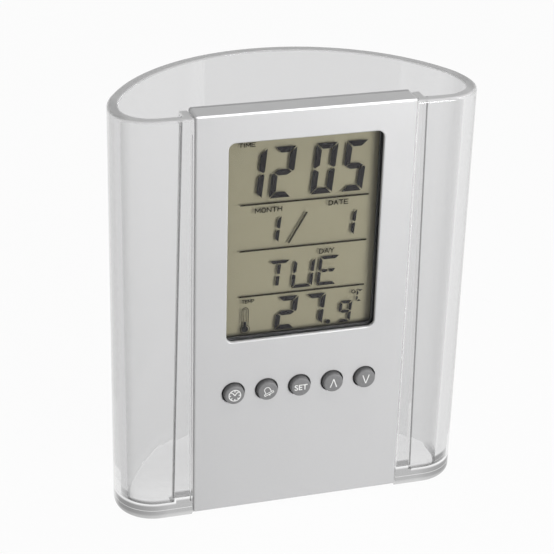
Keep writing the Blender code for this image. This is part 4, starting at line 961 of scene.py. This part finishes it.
def bar_outlines(wide, high, thick):
    """The corners of each bar of a figure, from its lower left corner, before it leans."""
    half = thick / 2
    half_gap = BAR_GAP / 2
    middle = high / 2
    point = thick * BAR_POINT_SHARE
    centre = wide / 2
    cut = max(thick * BAR_CUT_SHARE, BAR_GAP)
    near = cut / 2 - half_gap
    far = cut / 2 + half_gap
    bar = thick + BAR_GAP
    outlines = {
        "a": (
            (cut, high), (wide - cut, high), (wide - far, high - near), (wide - bar, high - thick),
            (bar, high - thick), (far, high - near),
        ),
        "f": (
            (0, high - cut), (near, high - far), (thick, high - bar), (thick, middle + half + half_gap),
            (point, middle + half_gap), (0, middle + point + half_gap),
        ),
        "g": (
            (point + BAR_GAP, middle), (bar, middle + half), (wide - bar, middle + half),
            (wide - point - BAR_GAP, middle), (wide - bar, middle - half), (bar, middle - half),
        ),
        "h": (
            (bar, middle - half), (bar, middle + half), (centre - half, middle + half),
            (centre - BAR_GAP, middle), (centre - half, middle - half),
        ),
        "i": (
            (centre - half, high - bar), (centre + half, high - bar), (centre + half, middle + half),
            (centre, middle + BAR_GAP), (centre - half, middle + half),
        ),
        "j": (
            (centre + half, middle - half), (centre + BAR_GAP, middle), (centre + half, middle + half),
            (wide - thick, middle + half), (wide - thick - half, middle - half),
        ),
    }
    for mirrored, bar_name in (("d", "a"), ("e", "f"), ("m", "i")):
        outlines[mirrored] = tuple((x, high - z) for x, z in outlines[bar_name])
    for mirrored, bar_name in (("b", "f"), ("c", "e")):
        outlines[mirrored] = tuple((wide - x, z) for x, z in outlines[bar_name])
    return outlines


def stroke(shape, start, end, thick, over=0.0):
    """A flat bar between two points, which may run on a little over both."""
    course = (Vector(end) - Vector(start)).normalized()
    start = Vector(start) - over * course
    end = Vector(end) + over * course
    across = Vector((-course.y, course.x)) * thick / 2
    corners = (start - across, end - across, end + across, start + across)
    shape.faces.new([shape.verts.new((*corner, 0)) for corner in corners])


def disc(shape, middle, radius, line=0.0):
    """A flat disc, or the ring of one line's width round its edge."""
    made = bmesh.ops.create_circle(
        shape, cap_ends=True, segments=ROUND_STEPS, radius=radius, matrix=Matrix.Translation((*middle, 0)),
    )["verts"]
    if line:
        faces = list({face for vert in made for face in vert.link_faces})
        bmesh.ops.inset_region(shape, faces=faces, thickness=line, use_boundary=True, use_even_offset=True)
        bmesh.ops.delete(shape, geom=faces, context="FACES")


def arch(shape, middle, radius, line):
    """A half ring of one line's width, open at its foot."""
    for step in range(CORNER_STEPS):
        turns = [2 * QUARTER * number / CORNER_STEPS for number in (step, step + 1)]
        ends = [Vector(middle) + radius * Vector((math.cos(turn), math.sin(turn))) for turn in turns]
        stroke(shape, *ends, line)


def write(shape, word, left, foot, width, height):
    """Write a word in plain strokes, to a width and a height from its lower left corner."""
    widths = [LETTER_WIDTHS.get(letter, 1.0) for letter in word]
    thick = height * WORD_LINE_SHARE
    unit = (width - thick) / (sum(widths) + LETTER_GAP_SHARE * (len(widths) - 1))
    left += thick / 2
    foot += thick / 2
    for letter, wide in zip(word, widths):
        for line in LETTERS[letter]:
            points = [(left + x * wide * unit, foot + z * (height - thick)) for x, z in line]
            for start, end in zip(points, points[1:]):
                stroke(shape, start, end, thick, thick * WORD_END_SHARE)
        left += (wide + LETTER_GAP_SHARE) * unit


def stand_up(shape, place, thick):
    """Thicken a flat shape, turn it to face the front, and move it to its place."""
    bmesh.ops.recalc_face_normals(shape, faces=shape.faces)
    lift(shape, shape.faces[:], (0, 0, -thick), use_keep_orig=True)
    turned_up = Matrix.Translation(place) @ Matrix.Rotation(QUARTER, 4, "X")
    bmesh.ops.transform(shape, matrix=turned_up, verts=shape.verts)


figures = bmesh.new()
for bars, left, foot, wide, high, thick in FIGURES:
    outlines = bar_outlines(wide, high, thick)
    for name in bars:
        corners = [(left + x + LEAN * z, foot + z, 0) for x, z in outlines[name]]
        figures.faces.new([figures.verts.new(corner) for corner in corners])
disc(figures, POINT, POINT_RADIUS)
disc(figures, BULB, BULB_FILL_RADIUS)
stroke(figures, BULB, (BULB[0], BULB[1] + TUBE_FILL_HEIGHT), 2 * TUBE_FILL_HALF)
stand_up(figures, display_foot, CRYSTAL_THICK)
figure_ink = mottled("display ink", INK_COLOURS, INK_ROUGHNESS, INK_GRAIN, gloss=INK_GLOSS)
complete(as_object("display_figures", figures), figure_ink, "clock", "display_glass")

lines = bmesh.new()
for height in RULE_HEIGHTS:
    left_end = (RULE_MIDDLE - RULE_HALF, height - RULE_RISE / 2)
    right_end = (RULE_MIDDLE + RULE_HALF, height + RULE_RISE / 2)
    stroke(lines, left_end, right_end, RULE_THICK)
stroke(lines, *SLASH, SLASH_THICK)
disc(lines, DEGREE, DEGREE_RADIUS, DEGREE_LINE)
disc(lines, BULB, BULB_RADIUS, TUBE_LINE)
tube_top = BULB[1] + TUBE_HEIGHT - TUBE_HALF
for half, line, rise in (
    (TUBE_HALF, TUBE_LINE, BULB_RADIUS - TUBE_LINE), (TUBE_BORE_HALF, TUBE_BORE_LINE, TUBE_FILL_HEIGHT),
):
    arch(lines, (BULB[0], tube_top), half, line)
    for x in (BULB[0] - half, BULB[0] + half):
        stroke(lines, (x, BULB[1] + rise), (x, tube_top), line)
for word in WORDS:
    write(lines, *word)
stand_up(lines, display_foot, CRYSTAL_THICK)
line_ink = mottled("label ink", LABEL_COLOURS, INK_ROUGHNESS, INK_GRAIN, gloss=INK_GLOSS)
complete(as_object("display_lines", lines), line_ink, "clock", "display_glass")


# Each key is a grey moulded cap with a slightly crowned face. A flange behind the face plate holds it in,
# and a skirt stands round the mat's dome. Its mark is printed in white: a clock face, a bell, SET and two
# arrows.

KEY_RADIUS = 0.0026
KEY_EDGE = 0.0004
KEY_EDGE_STEPS = 5
KEY_CROWN_RADIUS = 0.028
KEY_FLANGE_LAP = 0.0006
KEY_FLANGE_FRONT = 0.00165
KEY_FLANGE_REAR = 0.00225
KEY_SKIRT_OUTER = 0.00235
KEY_SKIRT_INNER = 0.00175
KEY_ROOF = 0.00185
CROWN_STEPS = 4
PRINT_THICK = 0.00006
PRINT_RISE = 0.00002
PRINT_CUTS = 3
KEY_COLOURS = ((0.190, 0.190, 0.193, 1.0), (0.226, 0.226, 0.229, 1.0))
KEY_ROUGHNESS = (0.42, 0.55)
KEY_GRAIN = 0.0003
KEY_GRAIN_DEPTH = 0.000006
PRINT_COLOURS = ((0.78, 0.78, 0.77, 1.0), (0.88, 0.88, 0.87, 1.0))
PRINT_LINE = 0.00027
DIAL_RADIUS = 0.00165
DIAL_TICKS = 8
DIAL_TICK = 0.00068
DIAL_HAND = 0.00105
DIAL_HAND_TURNS = (math.radians(55), math.radians(128))
BELL_TILT = math.radians(24)
BELL_HALF = 0.00076
BELL_BRIM_HALF = 0.00126
BELL_HEIGHT = 0.0018
BELL_DOME_SHARE = 0.25
BELL_BRIM_RISE = 0.00048
BELL_LINE = 0.00020
ARROW_HALF = 0.00085
ARROW_HEIGHT = 0.0024
SET_BOLDNESS = 0.018
SET_WIDTH = 0.0034
SET_HEIGHT = 0.0016

grey_plastic = mottled("grey key plastic", KEY_COLOURS, KEY_ROUGHNESS, KEY_GRAIN, depth=KEY_GRAIN_DEPTH)
white_print = mottled("white print", PRINT_COLOURS, INK_ROUGHNESS, INK_GRAIN)


def spin_about(shape, middle):
    """Turn a drawn profile all the way round an axis from front to back."""
    bmesh.ops.spin(
        shape, geom=shape.verts[:] + shape.edges[:], cent=(middle.x, 0, middle.z), axis=(0, 1, 0),
        dvec=(0, 0, 0), angle=4 * QUARTER, steps=ROUND_STEPS, use_merge=True, use_duplicate=False,
    )
    bmesh.ops.remove_doubles(shape, verts=shape.verts, dist=TOUCH)
    bmesh.ops.recalc_face_normals(shape, faces=shape.faces)


def turned(profile, middle):
    """A round solid about an axis from front to back, from its radii and their places along it."""
    shape = bmesh.new()
    join_up(shape, [shape.verts.new((middle.x + radius, y, middle.z)) for radius, y in profile])
    spin_about(shape, middle)
    return shape


def key_cap(middle, front, rear):
    """The cap, drawn from its crown over the flange and the skirt to the roof under it, and turned."""
    shape = bmesh.new()
    crown = shape.verts.new((middle.x, front, middle.z))
    edge_turn = math.asin(KEY_RADIUS / KEY_CROWN_RADIUS)
    rim = arc(shape, crown, (middle.x, front + KEY_CROWN_RADIUS, middle.z), edge_turn, CROWN_STEPS)
    rest = [
        (KEY_RADIUS, FACE + KEY_FLANGE_FRONT), (KEY_HOLE_RADIUS + KEY_FLANGE_LAP, FACE + KEY_FLANGE_FRONT),
        (KEY_HOLE_RADIUS + KEY_FLANGE_LAP, FACE + KEY_FLANGE_REAR), (KEY_SKIRT_OUTER, FACE + KEY_FLANGE_REAR),
        (KEY_SKIRT_OUTER, rear), (KEY_SKIRT_INNER, rear), (KEY_SKIRT_INNER, FACE + KEY_ROOF),
        (0, FACE + KEY_ROOF),
    ]
    join_up(shape, [rim] + [shape.verts.new((middle.x + radius, y, middle.z)) for radius, y in rest])
    rim_place = rim.co.y
    spin_about(shape, middle)
    ease(shape, flat_edges(shape, Y_AXIS, rim_place), KEY_EDGE, KEY_EDGE_STEPS)
    return shape


def dial_mark(shape):
    """A clock face with ticks and two hands."""
    disc(shape, (0, 0), DIAL_RADIUS, PRINT_LINE)
    for number in range(DIAL_TICKS):
        turn = 4 * QUARTER * number / DIAL_TICKS
        outwards = Vector((math.cos(turn), math.sin(turn)))
        tick_from = outwards * (DIAL_RADIUS - PRINT_LINE / 2)
        stroke(shape, tick_from, outwards * (DIAL_RADIUS - DIAL_TICK), PRINT_LINE)
    for turn in DIAL_HAND_TURNS:
        stroke(shape, (0, 0), (DIAL_HAND * math.cos(turn), DIAL_HAND * math.sin(turn)), PRINT_LINE)


def bell_mark(shape):
    """A leaning bell in outline, with a brim and a clapper."""
    dome = BELL_HEIGHT * BELL_DOME_SHARE
    brim = -BELL_HEIGHT / 2
    shoulder = brim + BELL_BRIM_RISE
    arch(shape, (0, dome), BELL_HALF, BELL_LINE)
    for side in (-1, 1):
        stroke(shape, (side * BELL_HALF, dome), (side * BELL_HALF, shoulder), BELL_LINE)
        stroke(shape, (side * BELL_BRIM_HALF, shoulder), (side * BELL_BRIM_HALF, brim), BELL_LINE)
    for height in (shoulder, brim):
        stroke(shape, (-BELL_BRIM_HALF, height), (BELL_BRIM_HALF, height), BELL_LINE)
    disc(shape, (0, brim - BELL_LINE), BELL_LINE)
    bmesh.ops.rotate(shape, matrix=Matrix.Rotation(BELL_TILT, 3, "Z"), verts=shape.verts)


def set_mark(shape):
    """The word on the middle key, written as text and brought to its size."""
    curve = bpy.data.curves.new("word", "FONT")
    curve.body = "SET"
    curve.offset = SET_BOLDNESS
    written = bpy.data.objects.new("word", curve)
    bpy.context.scene.collection.objects.link(written)
    bpy.context.view_layer.update()
    shape.from_mesh(written.to_mesh())
    bpy.data.objects.remove(written)
    across = [vert.co.x for vert in shape.verts]
    upright = [vert.co.y for vert in shape.verts]
    middle = Vector((min(across) + max(across), min(upright) + max(upright), 0)) / 2
    bmesh.ops.translate(shape, vec=-middle, verts=shape.verts)
    stretch = (SET_WIDTH / (max(across) - min(across)), SET_HEIGHT / (max(upright) - min(upright)), 1)
    bmesh.ops.scale(shape, vec=stretch, verts=shape.verts)


def arrow_mark(shape, upwards):
    """An arrowhead of two strokes that points up, or down."""
    tip = (0, upwards * ARROW_HEIGHT / 2)
    for side in (-1, 1):
        stroke(shape, (side * ARROW_HALF, -tip[1]), tip, PRINT_LINE)


marks = (
    dial_mark, bell_mark, set_mark, lambda shape: arrow_mark(shape, 1), lambda shape: arrow_mark(shape, -1),
)
for name, mark in zip(KEY_NAMES, marks):
    low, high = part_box(name)
    middle = middle_of(name)
    cap = as_object(f"{name}_cap", key_cap(middle, low.y + PRINT_RISE, high.y))
    complete(cap, grey_plastic, f"{name}_button", "grey_key", name)
    print_shape = bmesh.new()
    mark(print_shape)
    bmesh.ops.subdivide_edges(print_shape, edges=print_shape.edges[:], cuts=PRINT_CUTS, use_grid_fill=True)
    stand_up(print_shape, Vector((middle.x, low.y, middle.z)), PRINT_THICK)
    for vert in print_shape.verts:
        out = Vector((vert.co.x - middle.x, vert.co.z - middle.z)).length
        vert.co.y += out**2 / (2 * KEY_CROWN_RADIUS)
    complete(as_object(f"{name}_mark", print_shape), white_print, f"{name}_button", "grey_key")


# The mat behind the keys is one soft moulding in grey silicone rubber, with a dome for each key. It is
# clamped between the face plate and the board.

RUBBER_COLOURS = ((0.16, 0.16, 0.17, 1.0), (0.22, 0.22, 0.23, 1.0))
RUBBER_ROUGHNESS = (0.7, 0.9)
RUBBER_GRAIN = 0.0008
RUBBER_DEPTH = 0.00002

grey_rubber = mottled("grey rubber", RUBBER_COLOURS, RUBBER_ROUGHNESS, RUBBER_GRAIN, depth=RUBBER_DEPTH)
repaint(grey_rubber, "rubber_keypad")


# The board is fibreglass under a green mask, whose copper tracks show through as lighter lines. The clock's
# chip lies under a blob of black resin, beside a quartz crystal in its can, a sensor bead and two small
# capacitors. Two screws hold the board to its bosses.

MASK_COLOURS = ((0.012, 0.095, 0.040, 1.0), (0.030, 0.190, 0.075, 1.0))
MASK_ROUGHNESS = (0.28, 0.42)
TRACK_PITCH = 0.0022
TRACK_DEPTH = 0.00004
RESIN_COLOURS = ((0.008, 0.008, 0.009, 1.0), (0.020, 0.020, 0.020, 1.0))
RESIN_ROUGHNESS = (0.12, 0.3)
RESIN_GRAIN = 0.002
STEEL_COLOURS = ((0.52, 0.52, 0.53, 1.0), (0.66, 0.66, 0.66, 1.0))
STEEL_ROUGHNESS = (0.2, 0.38)
STEEL_GRAIN = 0.0004
BEAD_COLOURS = ((0.035, 0.025, 0.018, 1.0), (0.065, 0.050, 0.035, 1.0))
CERAMIC_COLOURS = ((0.36, 0.28, 0.18, 1.0), (0.46, 0.37, 0.25, 1.0))
SMALL_ROUGHNESS = (0.35, 0.55)
SMALL_GRAIN = 0.0004

green_mask, tree, shader = principled("green mask", MASK_COLOURS[0], MASK_ROUGHNESS[0])
lying = add(tree, "ShaderNodeMapping", {"Vector": own_place(tree), "Rotation": (QUARTER, 0, 0)})
tracks = add(tree, "ShaderNodeTexBrick", {"Vector": lying.outputs["Vector"], "Scale": 1 / TRACK_PITCH})
tree.links.new(coloured(tree, tracks.outputs["Fac"], MASK_COLOURS), shader.inputs["Base Color"])
raise_grain(tree, shader, tracks.outputs["Fac"], TRACK_DEPTH)
bright_steel = mottled("bright steel", STEEL_COLOURS, STEEL_ROUGHNESS, STEEL_GRAIN, metallic=1.0)
repaint(green_mask, "circuit_board")
repaint(mottled("black resin", RESIN_COLOURS, RESIN_ROUGHNESS, RESIN_GRAIN), "chip_cover")
repaint(mottled("sensor bead", BEAD_COLOURS, SMALL_ROUGHNESS, SMALL_GRAIN), "temperature_sensor")
capacitor_body = mottled("capacitor body", CERAMIC_COLOURS, SMALL_ROUGHNESS, SMALL_GRAIN)
repaint(capacitor_body, "chip_capacitor_left", "chip_capacitor_right")
repaint(bright_steel, "quartz_crystal", *BOARD_SCREW_NAMES)


# Two button cells lie side by side in the tray. Each is a pressed steel can with a rolled edge and a smaller
# cap in its front. A sprung strip under each leads to the board, and a third strip joins them at the back.

CAN_EDGE = 0.0004
CAN_EDGE_STEPS = 4
CAN_STEP = 0.0003
CAN_RING = 0.0006
CELL_STEEL = ((0.56, 0.56, 0.57, 1.0), (0.68, 0.68, 0.68, 1.0))
CELL_ROUGHNESS = (0.16, 0.32)

cell_steel = mottled("cell steel", CELL_STEEL, CELL_ROUGHNESS, STEEL_GRAIN, metallic=1.0)
for name in ("cell_left", "cell_right"):
    low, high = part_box(name)
    middle = middle_of(name)
    radius = (high.x - low.x) / 2
    profile = [
        (0, low.y), (radius - CAN_RING - CAN_STEP, low.y), (radius - CAN_RING, low.y + CAN_STEP),
        (radius - CAN_EDGE / 2, low.y + CAN_STEP), (radius, low.y + CAN_STEP + CAN_EDGE / 2),
        (radius, high.y), (0, high.y),
    ]
    can_shape = turned(profile, middle)
    rolled = flat_edges(can_shape, Y_AXIS, high.y, lambda at: at.x != middle.x)
    ease(can_shape, rolled, CAN_EDGE, CAN_EDGE_STEPS)
    complete(as_object(f"{name}_can", can_shape), cell_steel, "clock", "cell_steel", name)
repaint(bright_steel, "contact_left", "contact_right", "bridge_strip")


# The rear cover is a flat silver moulding that four screws draw onto the shell. The cells' tray and the
# buzzer's ring stand on its inside, and on its outside lie the door's recess, the sound holes and a small
# hole for the reset pin.

REAR_PLATE = 0.0013
REAR_EDGE = 0.0005
CELL_PLAY = 0.0003
TRAY_WALL = 0.0010
TRAY_CORNER_MARGIN = 0.0001
DOOR_GAP = 0.0003
DOOR_CORNER = 0.0016
DOOR_CORNER_STEPS = 10
DOOR_SEAT_GAP = 0.00025
RING_WALL = 0.0008
RING_HEIGHT = 0.0012
RING_PLAY = 0.00025
SOUND_HOLE_RADIUS = 0.0006
SOUND_HOLE_PITCH_SHARE = 0.4
SHANK_RADIUS = 0.0006
SHANK_PLAY = 0.00025
HEAD_SINK = 0.0009
HEAD_RADIUS = 0.0013
HEAD_PLAY = 0.00025
ROOT = 0.0005
REAR_COLOURS = ((0.540, 0.540, 0.545, 1.0), (0.600, 0.600, 0.605, 1.0))
REAR_ROUGHNESS = (0.42, 0.55)
REAR_GRAIN = 0.0006
REAR_GRAIN_DEPTH = 0.00001

cover_low, cover_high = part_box("rear_cover")
door_low, door_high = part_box("battery_door")
cell_low, cell_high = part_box("cell_left")[0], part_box("cell_right")[1]
buzzer_low, buzzer_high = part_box("piezo_buzzer")
buzzer_middle = middle_of("piezo_buzzer")
buzzer_radius = (buzzer_high.x - buzzer_low.x) / 2
door_screw = middle_of("door_screw")
rear_front = cover_high.y - REAR_PLATE
outside = cover_high.y + OVERRUN
pocket = around(cell_low, cell_high, CELL_PLAY, cover_low.y + TRAY_WALL, outside)
tray = around(*pocket, TRAY_WALL, cover_low.y, rear_front + ROOT)
recess = around(door_low, door_high, DOOR_GAP, door_low.y - DOOR_SEAT_GAP, outside)
pocket_round = (pocket[1].z - pocket[0].z) / 2 - TRAY_CORNER_MARGIN
ring_inside = buzzer_radius + RING_PLAY
ring = [
    (ring_inside, rear_front - RING_HEIGHT), (ring_inside + RING_WALL, rear_front - RING_HEIGHT),
    (ring_inside + RING_WALL, rear_front + ROOT), (ring_inside, rear_front + ROOT),
    (ring_inside, rear_front - RING_HEIGHT),
]

panel_low = Vector((cover_low.x, rear_front, cover_low.z))
rear_cover = as_object("rear_panel", plate(panel_low, cover_high, SHELL_CORNER))
ease_piece(rear_cover, Y_AXIS, cover_high.y, REAR_EDGE, SHELL_STEPS)
carve(rear_cover, [
    plate(*tray, pocket_round),
    rod(BOSS_RADIUS, door_screw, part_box("door_screw")[0].y - ROOT, rear_front + ROOT),
    turned(ring, buzzer_middle),
], "UNION")
pin_hole = Vector((buzzer_middle.x, 0, middle_of("chip_cover").z))
tools = [
    plate(*pocket, pocket_round, CORNER_STEPS),
    plate(*recess, DOOR_CORNER + DOOR_GAP, DOOR_CORNER_STEPS),
    rod(SHANK_RADIUS + SHANK_PLAY, door_screw, rear_front - ROOT, inside_rear + REAR_PLATE),
    rod(SOUND_HOLE_RADIUS, pin_hole, rear_front - ROOT, outside),
]
for name in SCREW_NAMES:
    middle = middle_of(name)
    tools.append(rod(SHANK_RADIUS + SHANK_PLAY, middle, rear_front - ROOT, outside))
    tools.append(rod(HEAD_RADIUS + HEAD_PLAY, middle, cover_high.y - HEAD_SINK, outside))
pitch = buzzer_radius * SOUND_HOLE_PITCH_SHARE
for column in (-1, 0, 1):
    for row in (-1, 0, 1):
        middle = buzzer_middle + Vector((column * pitch, 0, row * pitch))
        tools.append(rod(SOUND_HOLE_RADIUS, middle, rear_front - ROOT / 2, outside, CORNER_STEPS))
carve(rear_cover, tools)
rear_silver = mottled(
    "rear silver", REAR_COLOURS, REAR_ROUGHNESS, REAR_GRAIN, metallic=SILVER_METALLIC, depth=REAR_GRAIN_DEPTH,
)
complete(rear_cover, rear_silver, "clock", "silver_shell", "rear_cover")


# The battery door drops into its recess and one screw holds its left end. Three grooves near its right end
# help a fingernail to lift it.

DOOR_EDGE = 0.00025
DOOR_EDGE_STEPS = 3
GRIP_WIDTH = 0.0006
GRIP_PITCH = 0.0014
GRIP_SINK = 0.0003
GRIP_FROM_END = 0.0041
GRIP_LENGTH_SHARE = 0.5

door = as_object("cell_door", plate(door_low, door_high, DOOR_CORNER, DOOR_CORNER_STEPS))
ease_piece(door, Y_AXIS, door_high.y, DOOR_EDGE, DOOR_EDGE_STEPS)
past_door = door_high.y + OVERRUN
tools = [
    rod(SHANK_RADIUS + SHANK_PLAY, door_screw, door_low.y - OVERRUN, past_door),
    rod(HEAD_RADIUS + HEAD_PLAY, door_screw, (door_low.y + door_high.y) / 2, past_door),
]
door_middle = (door_low.z + door_high.z) / 2
grip_half = (door_high.z - door_low.z) * GRIP_LENGTH_SHARE / 2
for number in (-1, 0, 1):
    x = door_high.x - GRIP_FROM_END + number * GRIP_PITCH
    tools.append(block(
        (x - GRIP_WIDTH / 2, door_high.y - GRIP_SINK, door_middle - grip_half),
        (x + GRIP_WIDTH / 2, past_door, door_middle + grip_half),
    ))
carve(door, tools)
complete(door, rear_silver, "clock", "silver_shell", "battery_door")


# The buzzer is a thin brass disc with a smaller disc of pale ceramic on its front. Two thin wires, one red
# and one black, lead from it over its ring to the board.

BRASS_COLOURS = ((0.58, 0.42, 0.18, 1.0), (0.72, 0.54, 0.26, 1.0))
BRASS_ROUGHNESS = (0.28, 0.45)
PIEZO_COLOUR = (0.62, 0.60, 0.54, 1.0)
PIEZO_SHARE = 0.69
RED_COLOURS = ((0.42, 0.02, 0.02, 1.0), (0.55, 0.04, 0.03, 1.0))
WIRE_BLACKS = ((0.012, 0.012, 0.012, 1.0), (0.03, 0.03, 0.03, 1.0))
WIRE_ROUGHNESS = (0.35, 0.5)

brass_and_ceramic, tree, shader = principled("brass and ceramic", BRASS_COLOURS[0], BRASS_ROUGHNESS[0])
tarnish = spots(tree, RESIN_GRAIN)
centred = add(
    tree, "ShaderNodeMapping",
    {"Vector": own_place(tree), "Location": (-buzzer_middle.x, 0, -buzzer_middle.z), "Scale": (1, 0, 1)},
)
away = add(tree, "ShaderNodeVectorMath", {0: centred.outputs["Vector"]}, operation="LENGTH")
on_brass = reckon(tree, "GREATER_THAN", away.outputs["Value"], buzzer_radius * PIEZO_SHARE)
brass = coloured(tree, tarnish, BRASS_COLOURS)
tree.links.new(mix_colours(tree, on_brass, PIEZO_COLOUR, brass), shader.inputs["Base Color"])
tree.links.new(on_brass, shader.inputs["Metallic"])
tree.links.new(between(tree, tarnish, BRASS_ROUGHNESS), shader.inputs["Roughness"])
repaint(brass_and_ceramic, "piezo_buzzer")
repaint(mottled("red wire", RED_COLOURS, WIRE_ROUGHNESS, SMALL_GRAIN), "buzzer_wire_left")
repaint(mottled("black wire", WIRE_BLACKS, WIRE_ROUGHNESS, SMALL_GRAIN), "buzzer_wire_right")


# The screws are pan heads in bright steel with a cross slot, four in the rear cover and one in the door.

HEAD_THICK = 0.0006
HEAD_CROWN = 0.00015
HEAD_ROUND = 0.0002
HEAD_ROUND_STEPS = 4
SLOT_HALF = 0.00016
SLOT_REACH_SHARE = 0.68
SLOT_SINK = 0.0004

for name in SCREW_NAMES + ("door_screw",):
    low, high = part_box(name)
    middle = middle_of(name)
    crown = high.y - HEAD_CROWN
    seat = crown - HEAD_THICK
    profile = [
        (0, low.y), (SHANK_RADIUS / 2, low.y), (SHANK_RADIUS, low.y + SHANK_RADIUS), (SHANK_RADIUS, seat),
        (HEAD_RADIUS, seat), (HEAD_RADIUS, crown), (0, high.y),
    ]
    screw_shape = turned(profile, middle)
    ease(screw_shape, flat_edges(screw_shape, Y_AXIS, crown), HEAD_ROUND, HEAD_ROUND_STEPS)
    screw = as_object(f"{name}_steel", screw_shape)
    reach = HEAD_RADIUS * SLOT_REACH_SHARE
    carve(screw, [
        block(
            (middle.x - across, crown - SLOT_SINK, middle.z - upright),
            (middle.x + across, high.y + OVERRUN, middle.z + upright),
        )
        for across, upright in ((reach, SLOT_HALF), (SLOT_HALF, reach))
    ])
    complete(screw, bright_steel, "clock", "bright_steel", name)
